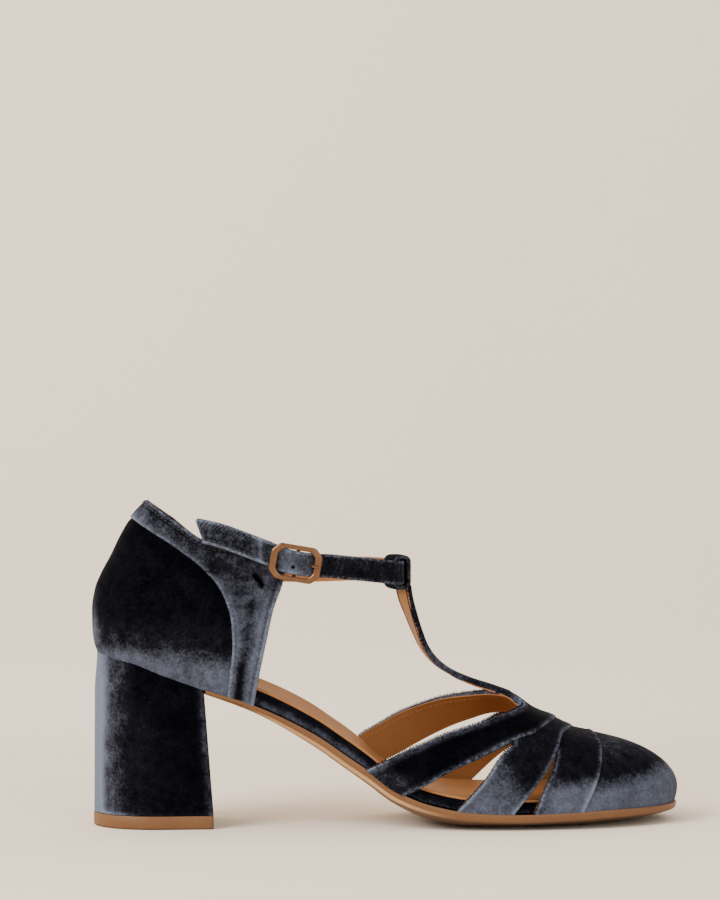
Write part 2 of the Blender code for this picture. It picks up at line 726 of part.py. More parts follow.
def cup_reach(station, height):
    """Reach of a place in the side view."""
    rear = curve(REAR, "station", height)
    lift = height - SEAT_HEIGHT
    radius = HEEL_ROUND + (COLLAR_ROUND - HEEL_ROUND) * ease(lift / COLLAR_RISE)
    ahead = max(station - rear, 0.0)
    if ahead < radius:
        return math.degrees(math.acos(1 - ahead / radius)) / 90.0
    return 1.0 + (ahead - radius) / FLANK_UNIT


def panel_place(line, row, side):
    """Reach and height on the seam or the free edge at a table row."""
    station = curve(PANEL, line + "_station", row)
    height = curve(PANEL, line + "_height", row)
    if line == "edge" and side > 0:
        height -= curve(PANEL, "medial_drop", row)
    reach = 0.0 if row <= 0 else cup_reach(station, height)
    return Vector((reach, height))


def counter_grid(side):
    """Counter between the rear line, the sole and the seam."""
    last = PANEL[-1].row
    columns = [k / COUNTER_COLUMNS for k in range(COUNTER_COLUMNS + 1)]
    rows = [k / COUNTER_ROWS for k in range(COUNTER_ROWS + 1)]
    end = panel_place("seam", last, side)

    def foot(share):
        reach = end.x * share
        height = rim(LAST_HEEL, 0)
        for _ in range(4):
            station = cup_point(reach, height, side)[0]
            height = rim(station, side) + GAP
        return Vector((reach, height))

    def top(share):
        return panel_place("seam", PANEL_CORNER * share, side)

    def front(share):
        place = panel_place("seam", last - (last - PANEL_CORNER) * share, side)
        return place if share > 0 else foot(1.0)

    def back(share):
        low, high = foot(0.0), top(0.0)
        return low + (high - low) * share

    corners = (foot(0.0), foot(1.0), top(0.0), top(1.0))
    grid = []
    for v in rows:
        line = []
        for u in columns:
            place = foot(u) * (1 - v) + top(u) * v + back(v) * (1 - u) + front(v) * u
            place -= corners[0] * (1 - u) * (1 - v) + corners[1] * u * (1 - v)
            place -= corners[2] * (1 - u) * v + corners[3] * u * v
            line.append(cup_point(place.x, place.y, side))
        grid.append(line)
    return grid


def quarter_grid(side, counter):
    """Quarter panel between the seam and the free edge, sharing the counter's border points."""
    last = PANEL[-1].row
    seam = counter[-1] + [line[-1] for line in counter[-2::-1]]
    rows = [PANEL_CORNER * k / COUNTER_COLUMNS for k in range(COUNTER_COLUMNS + 1)]
    rows += [PANEL_CORNER + (last - PANEL_CORNER) * k / COUNTER_ROWS for k in range(1, COUNTER_ROWS + 1)]
    grid = [seam]
    for k in range(1, PANEL_ROWS + 1):
        share = k / PANEL_ROWS
        line = []
        for row, point in zip(rows, seam):
            start = Vector((cup_reach(point[0], point[2]) if row > 0 else 0.0, point[2]))
            place = start + (panel_place("edge", row, side) - start) * share
            height = place.y
            if row == last:
                station = cup_point(place.x, place.y, side)[0]
                height = rim(station, side) + GAP
            line.append(cup_point(place.x, height, side))
        grid.append(line)
    return grid


def build_quarter(collection):
    """Heel cup: counter with the raised quarter panel round it, both sides in one wall."""
    patches = []
    for side in SIDES:
        counter = counter_grid(side)
        panel = quarter_grid(side, counter)
        for grid, wall in ((counter, WALL_COUNTER), (panel, WALL_QUARTER)):
            patches.append((grid if side > 0 else [line[::-1] for line in grid], wall))
    add_object("quarter", mesh_from_faces("quarter", shell(patches)), VELVET, collection)


# Ankle strap and buckle

def strap_line():
    """Points along the strap's centre line."""
    rows = [Vector(row) for row in STRAP]
    line = []
    for k in range(len(rows) - 1):
        before = rows[max(k - 1, 0)]
        after = rows[min(k + 2, len(rows) - 1)]
        start, end = rows[k], rows[k + 1]
        for j in range(STRAP_STEPS):
            t = j / STRAP_STEPS
            pull = (end - before) * 0.5 * t * (1 - t) ** 2 + (after - start) * 0.5 * t * t * (t - 1)
            line.append(start * (1 + 2 * t) * (1 - t) ** 2 + end * t * t * (3 - 2 * t) + pull)
    return line + [rows[-1]]


def build_ankle_strap(collection, cutters):
    """Flat strap: tail, buckle stretch with its hole, turn through the loop and inner end."""
    line = strap_line()
    levels = ([], [])
    for k, place in enumerate(line):
        along = (line[min(k + 1, len(line) - 1)] - line[max(k - 1, 0)]).normalized()
        outward = along.cross(Vector((0, 0, 1))).normalized()
        up = outward.cross(along).normalized()
        across = up * STRAP_WIDTH - along * TAIL_SLANT * max(0.0, 1 - k / STRAP_STEPS)
        for level, offset in zip(levels, (-0.5, 0.5)):
            row = []
            for share in (-0.5, -STRAP_EDGE, 0.0, STRAP_EDGE, 0.5):
                thick = STRAP_THICKNESS * (STRAP_EDGE_THICKNESS if abs(share) == 0.5 else 1.0)
                row.append(tuple(place + across * share + outward * offset * thick))
            level.append(row)
    strap = add_object("ankle_strap", mesh_from_faces("ankle_strap", loft(levels)), VELVET, collection)
    hole = wire([(HOLE_START[0], 0.0, HOLE_START[1]), (HOLE_END[0], 0.0, HOLE_END[1])], HOLE_RADIUS)
    join(strap, add_object("strap_hole", mesh_from_faces("strap_hole", hole), VELVET, cutters), "DIFFERENCE")


def buckle_place(along, up, out):
    """Point given in the buckle's own axes: along the strap, up across it and outwards."""
    tilt = math.radians(BUCKLE_TILT)
    x = along * math.cos(tilt) + up * math.sin(tilt)
    z = up * math.cos(tilt) - along * math.sin(tilt)
    return (BUCKLE_CENTRE[0] + x, BUCKLE_CENTRE[1] - out, BUCKLE_CENTRE[2] + z)


def octagon(side_inset, long_inset, out):
    """Closed ring of the buckle's outline, inset at its short sides and its long sides."""
    x = BUCKLE_SIZE[0] / 2 - side_inset
    z = BUCKLE_SIZE[1] / 2 - long_inset
    cut = BUCKLE_CHAMFER - long_inset * CHAMFER_SHRINK
    corners = ((x, z - cut), (x - cut, z), (cut - x, z), (-x, z - cut),
               (-x, cut - z), (cut - x, -z), (x - cut, -z), (x, cut - z))
    ring = [buckle_place(along, up, out) for along, up in corners]
    return ring + ring[:1]


def wire(path, radius):
    """Faces of a round wire along a flat path in the buckle's axes."""
    points = [Vector(point) for point in path]
    side = Vector((0, 1, 0)) if points[0].y == points[-1].y else Vector((1, 0, 0))
    rings = []
    for k, point in enumerate(points):
        along = points[min(k + 1, len(points) - 1)] - points[max(k - 1, 0)]
        across = along.normalized().cross(side)
        ring = []
        for j in range(WIRE_SIDES):
            turn = 2 * math.pi * j / WIRE_SIDES
            offset = (side * math.cos(turn) + across * math.sin(turn)) * radius
            ring.append(buckle_place(*(point + offset)))
        rings.append(ring + ring[:1])
    return grid_faces(rings) + [rings[0][:-1], rings[-1][:-1]]


def build_buckle_frame(collection, cutters):
    """Octagonal frame with its bevelled edges and the cranked centre bar."""
    half = BUCKLE_THICKNESS / 2
    rings = [octagon(0.0, 0.0, -half), octagon(0.0, 0.0, half)]
    rings += [octagon(BUCKLE_SIDE_BAR, BUCKLE_LONG_BAR, out) for out in (half, -half)]
    faces = grid_faces(rings + rings[:1])
    frame = add_object("buckle_frame", mesh_from_faces("buckle_frame", faces), COPPER, collection)
    bevel = frame.modifiers.new("edge", "BEVEL")
    bevel.width = BUCKLE_EDGE * MM
    bevel.segments = 2
    bevel.limit_method = "ANGLE"
    low = POST_HEIGHT - POST_CORNER
    ends = [(POST_HEIGHT, 0.0), (POST_HEIGHT, POST_CORNER - BAR_DEPTH), (low, -BAR_DEPTH)]
    path = [(BAR_ALONG, up, out) for up, out in ends]
    path += [(BAR_ALONG, -up, out) for up, out in reversed(ends)]
    bar = add_object("centre_bar", mesh_from_faces("centre_bar", wire(path, BAR_RADIUS)), COPPER, cutters)
    join(frame, bar, "UNION")


def build_buckle_prong(collection):
    """Wire hooked round the centre bar, through the strap and on to the front bar."""
    path = []
    for turn in range(-240, 1, 30):
        angle = math.radians(turn)
        path.append((BAR_ALONG + PRONG_RING * math.cos(angle), 0.0, PRONG_RING * math.sin(angle) - BAR_DEPTH))
    path += [(along, 0.0, out) for along, out in PRONG_SHANK]
    add_object("buckle_prong", mesh_from_faces("buckle_prong", wire(path, PRONG_RADIUS)), COPPER, collection)


def build_buckle_tab(collection, cutters):
    """Leather tab from inside the outer quarter, folded round the centre bar and slotted for the prong."""
    radius = BAR_RADIUS + GAP + TAB_THICKNESS / 2
    path = list(TAB_LEG)
    for turn in range(-90, 91, 30):
        angle = math.radians(turn)
        path.append((BAR_ALONG + radius * math.cos(angle), radius * math.sin(angle) - BAR_DEPTH))
    path.append(TAB_END)
    levels = ([], [])
    for k, (along, out) in enumerate(path):
        ahead = path[min(k + 1, len(path) - 1)]
        behind = path[max(k - 1, 0)]
        normal = Vector((ahead[1] - behind[1], behind[0] - ahead[0])).normalized() * TAB_THICKNESS / 2
        for level, sign in zip(levels, SIDES):
            place = (along + sign * normal.x, out + sign * normal.y)
            level.append([buckle_place(place[0], up, place[1]) for up in (-TAB_HALF_WIDTH, TAB_HALF_WIDTH)])
    tab = add_object("buckle_tab", mesh_from_faces("buckle_tab", loft(levels)), TAN_LEATHER, collection)
    box = [[[buckle_place(along, up, out) for up in SLOT_UP] for along in SLOT_ALONG] for out in SLOT_OUT]
    slot = add_object("tab_slot", mesh_from_faces("tab_slot", loft(box)), TAN_LEATHER, cutters)
    join(tab, slot, "DIFFERENCE")


def centre_on_box(groups):
    """Move every body so that the shoe's box is centred over the origin."""
    points = [corner.co for part in groups[0].objects for corner in part.data.vertices]
    middle = [(min(p[k] for p in points) + max(p[k] for p in points)) / 2 for k in range(2)]
    for group in groups:
        for part in group.objects:
            part.data.transform(Matrix.Translation((-middle[0], -middle[1], 0.0)))


def build_all():
    """Make every piece and stand the shoe on the floor, centred on its box."""
    for old in list(bpy.data.objects):
        bpy.data.objects.remove(old)
    shoe = bpy.data.collections.new("heeled_shoe")
    helpers = bpy.data.collections.new("helpers")
    for group in (shoe, helpers):
        bpy.context.scene.collection.children.link(group)
    build_outsole(shoe)
    build_insole_board(shoe)
    build_sock_lining(shoe)
    build_heel(shoe)
    build_heel_top_lift(shoe)
    build_quarter(shoe)
    build_vamp(shoe, helpers)
    build_ankle_strap(shoe, helpers)
    build_buckle_frame(shoe, helpers)
    build_buckle_prong(shoe)
    build_buckle_tab(shoe, helpers)
    centre_on_box((shoe, helpers))


build_all()
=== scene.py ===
import math
from collections import namedtuple

import bmesh
import bpy
import numpy as np
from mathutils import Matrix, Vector


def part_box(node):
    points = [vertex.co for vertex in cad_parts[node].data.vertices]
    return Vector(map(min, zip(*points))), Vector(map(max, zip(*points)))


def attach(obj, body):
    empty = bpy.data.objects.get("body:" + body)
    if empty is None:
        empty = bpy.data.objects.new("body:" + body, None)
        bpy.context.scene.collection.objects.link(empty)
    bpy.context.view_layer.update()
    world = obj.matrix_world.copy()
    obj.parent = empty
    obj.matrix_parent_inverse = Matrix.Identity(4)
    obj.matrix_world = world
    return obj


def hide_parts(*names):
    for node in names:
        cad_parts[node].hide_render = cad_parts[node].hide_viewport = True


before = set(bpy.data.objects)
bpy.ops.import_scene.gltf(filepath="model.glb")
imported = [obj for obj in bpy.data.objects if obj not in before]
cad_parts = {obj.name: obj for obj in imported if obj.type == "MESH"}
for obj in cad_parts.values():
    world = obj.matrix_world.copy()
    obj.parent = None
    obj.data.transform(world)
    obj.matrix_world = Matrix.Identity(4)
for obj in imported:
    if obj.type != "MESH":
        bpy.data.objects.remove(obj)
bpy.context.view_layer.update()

# Driving sizes of the shoe, in millimetres. A station is the distance along the foot from the
# back of the heel, the lateral (outer) side is -Y, and heights are above the floor.
MM = 0.001
GAP = 0.3
LAST_HEEL = 3.8
LAST_TOE = 235.6
HEEL_ROUND = 23.0
TOE_ROUND = 46.0
TOE_PLAN = 2.6
TOE_PLAN_ROOT = 0.46
TOE_DROP = 28.0
TOE_PROFILE = 2.4
TOE_TIP_HEIGHT = 13.0
TOE_SWING = 3.5
TOE_SWING_START = 165.0
TOE_OVERHANG = 1.6
TOE_BULGE = 7.0
FLANK_BULGE = 0.035
SOLE_OVERHANG = 2.6
SOLE_DISH = 1.8
DISH_SHAPE = 2.2
DISH_START = 20.0
DISH_RUN = 60.0
SOLE_TURN = 1.7
HEEL_HALF_WIDTH = 23.6
HEEL_BREAST = 43.6
HEEL_BREAST_FOOT = 47.6
HEEL_COVER = 2.0
HEEL_LEAN = 0.4
HEEL_SWELL = 0.9
HEEL_SWELL_RUN = 0.25
HEEL_TAPER = 2.4
HEEL_CORNER = 1.4
LIFT_HEIGHT = 5.4
LIFT_OVERHANG = 0.2
BOARD_INSET = 0.4
SOCK_INSET = 1.2
SOCK_THICKNESS = 1.1
STRAP_WIDTH = 9.4
STRAP_THICKNESS = 2.0
LINING = 0.5
LINING_PROUD = 0.35

# The lift is centred across the shoe and its back is the shoe's lowest station, which places the frame
LIFT_LOW, LIFT_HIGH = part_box("heel_top_lift")
SHIFT = np.array((
    LAST_HEEL - HEEL_COVER - LIFT_OVERHANG - HEEL_LEAN - HEEL_SWELL - LIFT_LOW[0] / MM,
    -(LIFT_LOW[1] + LIFT_HIGH[1]) / 2 / MM,
    0.0,
))


def table(columns, *rows):
    """Table of rows with named columns."""
    kind = namedtuple("Row", columns)
    return [kind(*row) for row in rows]


# Last bottom: half widths, rim of the sole, its edge, its underside and the footbed on it
BOTTOM = table(
    "station lateral medial rim arch edge middle bevel board",
    (0, 23.4, 23.4, 70.9, 0, 1.9, 68.4, 0.5, 6.0),
    (13, 23.4, 23.4, 67.9, 0, 1.9, 65.4, 0.5, 6.0),
    (27, 23.6, 23.4, 62.6, 0, 1.9, 60.0, 0.5, 6.2),
    (43, 24.0, 22.8, 56.8, 0.4, 1.9, 54.4, 0.8, 6.8),
    (64, 23.6, 20.6, 49.8, 1.4, 2.9, 46.2, 2.0, 7.6),
    (88, 23.6, 18.8, 38.1, 2.4, 4.8, 32.4, 3.0, 7.4),
    (101, 25.4, 20.0, 29.3, 2.4, 5.1, 23.2, 3.0, 7.4),
    (110, 27.6, 22.6, 23.2, 2.0, 5.1, 16.8, 2.6, 7.0),
    (120, 30.4, 26.4, 15.8, 1.2, 4.5, 9.4, 1.8, 6.4),
    (134, 34.0, 31.8, 10.2, 0.4, 3.9, 3.0, 0.8, 6.0),
    (150, 36.6, 36.2, 7.4, 0, 3.7, 0, 0.5, 5.8),
    (171, 37.4, 38.2, 6.5, 0, 3.4, 0, 0.4, 5.8),
    (190, 36.6, 37.4, 6.9, 0, 3.4, 0, 0.4, 5.6),
    (209, 34.4, 35.0, 7.5, 0, 3.2, 0.9, 0.4, 5.2),
    (239, 31.0, 31.0, 7.6, 0, 2.5, 4.4, 0.4, 4.6),
)

# Top of the last over the forefoot: ridge height, its side shift and the fullness of each flank
RIDGE = table(
    "station height shift lateral medial rise",
    (100, 72.0, 5.0, 1.15, 0.90, 1.00),
    (125, 66.5, 4.5, 1.12, 0.90, 1.00),
    (141, 61.2, 4.0, 1.08, 0.90, 1.00),
    (148, 58.4, 3.6, 1.06, 0.90, 1.00),
    (156, 55.0, 3.2, 1.04, 0.90, 1.00),
    (164, 52.0, 2.8, 1.00, 0.90, 0.98),
    (170, 49.2, 2.6, 0.98, 0.90, 0.97),
    (178, 43.6, 2.4, 0.95, 0.90, 0.95),
    (188, 39.2, 2.4, 0.92, 0.90, 0.92),
    (195, 35.8, 2.6, 0.90, 0.90, 0.90),
    (204, 33.8, 3.0, 0.88, 0.88, 0.90),
    (213, 31.8, 3.2, 0.88, 0.88, 0.90),
    (239, 27.6, 3.5, 0.88, 0.88, 0.90),
)

# Band edges: station of each rear and front edge by flank angle, 0 at the sole and 90 on the ridge
EDGE_COLUMNS = "angle back_1 front_1 back_2 front_2 back_3 front_3"
LATERAL_EDGES = table(
    EDGE_COLUMNS,
    (0, 109.0, 123.9, 144.5, 167.2, 175.2, 195.5),
    (15, 120.1, 140.3, 155.3, 175.7, 179.5, 199.6),
    (30, 136.7, 158.7, 163.2, 182.0, 183.7, 202.2),
    (45, 155.1, 173.0, 173.0, 185.8, 185.8, 203.8),
    (60, 168.0, 180.4, 180.4, 188.2, 188.2, 204.5),
    (75, 172.5, 185.2, 185.2, 191.8, 191.8, 204.3),
    (90, 173.0, 188.0, 188.0, 195.0, 195.0, 203.8),
)
MEDIAL_EDGES = table(
    EDGE_COLUMNS,
    (0, 105.5, 115.0, 137.0, 153.0, 166.0, 188.0),
    (15, 114.0, 129.7, 147.5, 165.0, 171.8, 193.5),
    (30, 125.6, 145.5, 156.5, 174.8, 177.2, 198.0),
    (45, 141.2, 160.8, 166.0, 181.0, 181.0, 201.0),
    (60, 156.3, 174.0, 174.0, 186.5, 186.5, 203.0),
    (75, 167.0, 182.5, 182.5, 191.2, 191.2, 203.8),
    (90, 173.0, 188.0, 188.0, 195.0, 195.0, 203.8),
)
# Cut-outs: flank angle of the apex on each side and the band edge met there
Opening = namedtuple("Opening", "lateral medial meets")
OPENINGS = {"back_2": Opening(37.0, 57.0, "front_1"), "back_3": Opening(42.0, 42.0, "front_2")}
TUCK = 3.0
TUCK_RUN = 6.0
STEM_TURN = 12.0
WALL_TOE = 1.7
WALL_BAND_3 = 2.1
WALL_BAND_2 = 2.5
WALL_BAND_1 = 2.9

# T-strap from the throat to the loop: rear face, half width and twist towards the inner side
T_STRAP = table(
    "station height shift half_width twist",
    (169.0, 49.7, 2.7, 7.2, 0),
    (163.2, 52.2, 3.0, 6.4, 0),
    (154.6, 55.0, 3.4, 6.0, 0),
    (145.8, 58.9, 3.7, 6.0, 1),
    (138.8, 63.8, 4.0, 6.0, 2),
    (134.3, 69.4, 4.4, 6.0, 3),
    (131.2, 76.2, 4.9, 6.0, 6),
    (128.6, 83.6, 5.4, 6.0, 10),
    (126.6, 90.0, 6.0, 6.0, 15),
    (125.6, 95.4, 6.4, 5.9, 18),
)
WALL_STEM = 2.3
STEM_AHEAD = 8.0
STEM_BLEND = 12.0
STEM_WRAP = 6.0
STEM_STEP = 0.8
LOOP_CENTRE = (124.2, 6.5, 101.1)
LOOP_INSIDE = (4.4, 10.6)
LOOP_WALL = 1.6
LOOP_TWIST = 18.0
LOOP_HALF_WIDTH = 5.6
LOOP_CORNER = 1.2
LOOP_ROUND = 0.6
LOOP_PUFF = 0.25
LOOP_NAP = 0.16

# Heel cup: rear line of the last by height, and the flank from footbed to collar
REAR = table(
    "height station",
    (40.0, 3.8), (70.6, 3.7), (73.8, 2.6), (80.0, 1.8), (87.2, 1.7), (95.2, 2.9),
    (100.3, 4.9), (108.0, 9.0), (116.6, 13.2), (123.0, 17.1), (129.8, 23.3), (140.0, 32.0),
)
COLLAR = table("station half_width", (0, 20.0), (30, 20.5), (50, 23.5), (90, 28.0))
COLLAR_RISE = 55.0
SEAT_HEIGHT = 60.0
FLANK_SWELL = 2.4
SWELL_HEIGHT = 46.0
COLLAR_ROUND = 17.0
FLANK_UNIT = 50.0
FOOT_BLEND = 0.12

# Seam of the counter and free edge of the quarter, matched row by row from the rear to the sole
PANEL = table(
    "row seam_station seam_height edge_station edge_height medial_drop",
    (0, 17.1, 123.0, 23.3, 129.8, 0),
    (1, 31.7, 113.7, 32.5, 123.6, 0),
    (2, 43.0, 105.2, 48.0, 114.6, 2),
    (3, 48.4, 98.8, 77.0, 110.8, 6),
    (4, 51.4, 93.6, 75.2, 99.6, 3),
    (5, 54.3, 83.8, 71.2, 88.0, 1),
    (6, 54.8, 74.4, 68.6, 76.5, 0),
    (7, 53.8, 62.1, 66.1, 64.5, 0),
    (8, 52.9, 53.0, 63.6, 50.0, 0),
)
PANEL_CORNER = 3.0
PANEL_END = 8.0
WALL_COUNTER = 2.0
WALL_QUARTER = 2.5

# Ankle strap from the tail to the inner quarter: station, side and height of its centre line
STRAP = (
    (41.6, -26.2, 120.3), (48.8, -27.4, 118.7), (58.2, -28.7, 115.4), (67.3, -29.7, 111.9),
    (72.9, -30.3, 109.6), (76.5, -31.4, 108.2), (80.4, -32.1, 107.4), (84.0, -31.6, 106.8),
    (86.8, -30.7, 106.5), (89.8, -30.0, 106.2), (93.5, -28.9, 106.0), (100.5, -25.4, 105.1),
    (108.0, -20.2, 104.0), (115.0, -14.2, 102.9), (121.2, -7.6, 101.8), (124.9, -1.6, 101.2),
    (125.6, 2.6, 101.1), (124.8, 6.8, 101.1), (122.2, 12.6, 101.3), (113.6, 21.4, 101.5),
    (101.0, 27.4, 100.8), (89.0, 30.4, 100.3), (77.0, 30.8, 100.5), (64.0, 29.5, 101.6),
    (58.0, 28.8, 102.4),
)
STRAP_FINE = -24.0
STRAP_STEP = (0.3, 0.8)
TAIL_SLANT = 4.4
TAIL_SLANT_RUN = 7.4
TAIL_SEAM = 33.0
RIB_PITCH = 1.3
STRAP_EDGE_RADIUS = 0.7
STRAP_END_ROUND = 1.2
SPARE_HOLE = (79.0, 105.8)
SPARE_HOLE_RADIUS = 0.7

# Fineness of the grids and shape of folded velvet edges: roll and groove by height, place and width.
# Turns run round the forefoot from the outer sole over the ridge to the inner sole.
EDGE_STEPS = np.array((0.0, 0.1, 0.25, 0.45, 0.7, 1.0, 1.4, 1.9, 2.5, 3.2))
EDGE_SHARE = 0.42
FINE = np.linspace(0.0, 1.0, 41)
TURNS = np.linspace(-90.0, 90.0, 241)
BAND_COLUMNS = 16
BAND_1_COLUMNS = 18
STEM_COLUMNS = 13
FLANK_ROWS = 106
STRAP_COLUMNS = 8
TOE_COLUMNS = 81
CUP_GRID = (70, 70, 28)
SOLE_COLUMNS = 61
BOARD_COLUMNS = 41
HEEL_LEVELS = 41
ROUND_STEPS = 37
LOOP_STEPS = (9, 6, 10)
FOOT_ROUNDS = 6
SLANT_SMOOTH = 10
SLANT_LEAST = 0.35
NORMAL_STEP = (0.01, 0.3)
EDGE_RADIUS = 0.8
SEAM_RADIUS = 0.5
ROLL = (0.22, 1.0, 0.6)
GROOVE = (-0.16, 2.3, 0.4)
STITCH_COLUMN = 7
FOLD_REACH = 1.5
VELVET_TURN = 0.05
WELD = 0.0005
WELD_OFFSET = 0.123
SHARP_ANGLE = math.radians(50.0)
CHUNK = 3000


# Shape functions

def hermite(values, slopes, k, t, span):
    """Cubic from value k to the next one, with given slopes."""
    start = (1 + 2 * t) * (1 - t) ** 2 * values[k] + t * (1 - t) ** 2 * span * slopes[k]
    return start + t * t * (3 - 2 * t) * values[k + 1] + t * t * (t - 1) * span * slopes[k + 1]


def curve(rows, column, at):
    """Monotone cubic through a table column, keyed by the first column, at an array of places."""
    xs = np.array([row[0] for row in rows], float)
    ys = np.array([getattr(row, column) for row in rows], float)
    span = np.diff(xs)
    slope = np.diff(ys) / span
    tangent = np.zeros_like(ys)
    tangent[0], tangent[-1] = slope[0], slope[-1]
    for k in range(1, len(xs) - 1):
        if slope[k - 1] * slope[k] > 0:
            before = 2 * span[k] + span[k - 1]
            after = span[k] + 2 * span[k - 1]
            tangent[k] = (before + after) / (before / slope[k - 1] + after / slope[k])
    at = np.clip(at, xs[0], xs[-1])
    k = np.clip(np.searchsorted(xs, at) - 1, 0, len(xs) - 2)
    return hermite(ys, tangent, k, (at - xs[k]) / span[k], span[k])


def ease(t):
    """Smooth step from 0 to 1."""
    t = np.clip(t, 0.0, 1.0)
    return t * t * (3 - 2 * t)


def soft(low, high, value):
    """Smooth step of a value, 0 below the first limit and 1 above the second."""
    return ease((value - low) / (high - low))


def fade(low, high, value):
    """Smooth step of a value, 1 below the first limit and 0 above the second."""
    return 1 - soft(low, high, value)


def bell(value, centre, width):
    """Soft bump of height 1."""
    return np.exp(-((value - centre) / width) ** 2)


def between(first, last, share):
    """Place at a share of the way between two others."""
    return first * (1 - share) + last * share


def arc(start, end, count):
    """Evenly spaced angles, given in degrees."""
    return np.radians(np.linspace(start, end, count))


def unit(vectors):
    """Vectors scaled to length 1."""
    return vectors / np.maximum(np.linalg.norm(vectors, axis=-1, keepdims=True), 1e-9)


def pick(side, lateral, medial):
    """Outer or inner value by side."""
    return np.where(side < 0, lateral, medial)


def by_side(rows, station, side):
    """Lateral or medial column of a table."""
    return pick(side, curve(rows, "lateral", station), curve(rows, "medial", station))


def toe_swing(station):
    """Sideways lean of the forefoot towards the inner side."""
    return TOE_SWING * soft(TOE_SWING_START, LAST_TOE, station)


def fullness(station, grow=0.0):
    """Share of the full width that the rounded heel and toe leave, 0 at both ends."""
    heel = np.clip((station - LAST_HEEL + grow) / (HEEL_ROUND + grow), 0.0, 1.0)
    toe = np.clip((station - LAST_TOE + TOE_ROUND) / (TOE_ROUND + grow), 0.0, 1.0)
    return np.sqrt(1 - (1 - heel) ** 2) * np.maximum(0.0, 1 - toe ** TOE_PLAN) ** TOE_PLAN_ROOT


def half_width(station, side, grow=0.0):
    """Half width of the last bottom, grown outwards, with its heel and toe rounded off."""
    return (by_side(BOTTOM, station, side) + grow) * fullness(station, grow)


def outline(station, fraction, grow=0.0):
    """Side position of a fraction (-1 to 1) of the bottom's width at a station."""
    return fraction * half_width(station, fraction, grow) + toe_swing(station)


def rim(station, fraction):
    """Height of the sole's upper face: rim, raised inner arch and shallow dish between."""
    arch = curve(BOTTOM, "arch", station) * np.maximum(0.0, fraction)
    dish = SOLE_DISH * (1 - np.abs(fraction) ** DISH_SHAPE) * fullness(station)
    return curve(BOTTOM, "rim", station) + arch - dish * ease((station - DISH_START) / DISH_RUN)


def board_top(station, fraction):
    """Upper face of the footbed."""
    return rim(station, fraction) + curve(BOTTOM, "board", station) - SOCK_THICKNESS - GAP


def vamp_point(station, angle, side):
    """Inner face of the upper at a station and flank angle (0 at the sole, 90 on the ridge)."""
    turn = np.radians(angle)
    out = np.maximum(np.cos(turn), 0.0) ** by_side(RIDGE, station, side)
    low = rim(station, side) + GAP
    drop = np.clip((station - LAST_TOE + TOE_DROP) / TOE_DROP, 0.0, 1.0)
    high = curve(RIDGE, "height", station) - TOE_TIP_HEIGHT
    high = TOE_TIP_HEIGHT + high * np.sqrt(np.maximum(0.0, 1 - drop ** TOE_PROFILE))
    swell = 1 + FLANK_BULGE * np.sin(2 * turn)
    foot = side * half_width(station, side) * swell + toe_swing(station)
    y = foot * out + curve(RIDGE, "shift", station) * (1 - out)
    z = low + (high - low) * np.maximum(np.sin(turn), 0.0) ** curve(RIDGE, "rise", station)
    bulge = np.minimum((z - low) / TOE_BULGE, 1.0)
    return np.stack((station + TOE_OVERHANG * drop ** 2 * bulge * (2 - bulge), y, z), -1)


def flank(turns):
    """Side and flank angle of a turn round the forefoot, -90 at the outer sole and 90 at the inner."""
    return np.where(turns < 0, -1, 1), 90.0 - np.abs(turns)


def edge_station(column, turns):
    """Station of a band edge; above a cut-out's apex it is the edge of the band behind."""
    side, angle = flank(turns)

    def both(name):
        return pick(side, curve(LATERAL_EDGES, name, angle), curve(MEDIAL_EDGES, name, angle))

    if column not in OPENINGS:
        return both(column)
    opening = OPENINGS[column]
    apex = pick(side, opening.lateral, opening.medial)
    tucked = both(opening.meets) - TUCK * ease((angle - apex) / TUCK_RUN)
    return np.where(angle >= apex, tucked, both(column))


def cup_radius(height):
    """Radius of the heel cup's back."""
    return HEEL_ROUND + (COLLAR_ROUND - HEEL_ROUND) * ease((height - SEAT_HEIGHT) / COLLAR_RISE)


def cup_point(reach, height, side):
    """Inner face of the heel cup: reach 0 at the rear line, 1 where the flank begins."""
    turn = np.radians(90.0 * np.minimum(reach, 1.0))
    station = curve(REAR, "station", height) + cup_radius(height) * (1 - np.cos(turn))
    station = station + FLANK_UNIT * np.maximum(reach - 1.0, 0.0)
    rise = height - rim(station, side)
    foot = by_side(BOTTOM, station, side)
    width = foot + (curve(COLLAR, "half_width", station) - foot) * ease(rise / COLLAR_RISE)
    width = width + FLANK_SWELL * np.sin(np.pi * np.clip(rise / SWELL_HEIGHT, 0.0, 1.0))
    return np.stack((station, side * width * np.sin(turn), height), -1)


def cup_reach(station, height):
    """Reach of a place in the side view."""
    radius = cup_radius(height)
    ahead = np.maximum(station - curve(REAR, "station", height), 0.0)
    turn = np.degrees(np.arccos(np.clip(1 - ahead / radius, 0.0, 1.0))) / 90.0
    return np.where(ahead < radius, turn, 1.0 + (ahead - radius) / FLANK_UNIT)


def cup_normal(reach, height, side):
    """Outward direction of the heel cup's wall."""
    step, lift = NORMAL_STEP
    along = cup_point(reach + step, height, side) - cup_point(np.maximum(reach - step, 0.0), height, side)
    up = cup_point(reach, height + lift, side) - cup_point(reach, height - lift, side)
    return unit(np.cross(along, up) * -side)


def step_lengths(lines):
    """Length of each step of polylines."""
    return np.linalg.norm(np.diff(lines, axis=-2), axis=-1)


def run_along(lines):
    """Length along polylines at each of their points."""
    steps = step_lengths(lines)
    return np.concatenate((np.zeros_like(steps[..., :1]), np.cumsum(steps, axis=-1)), axis=-1)


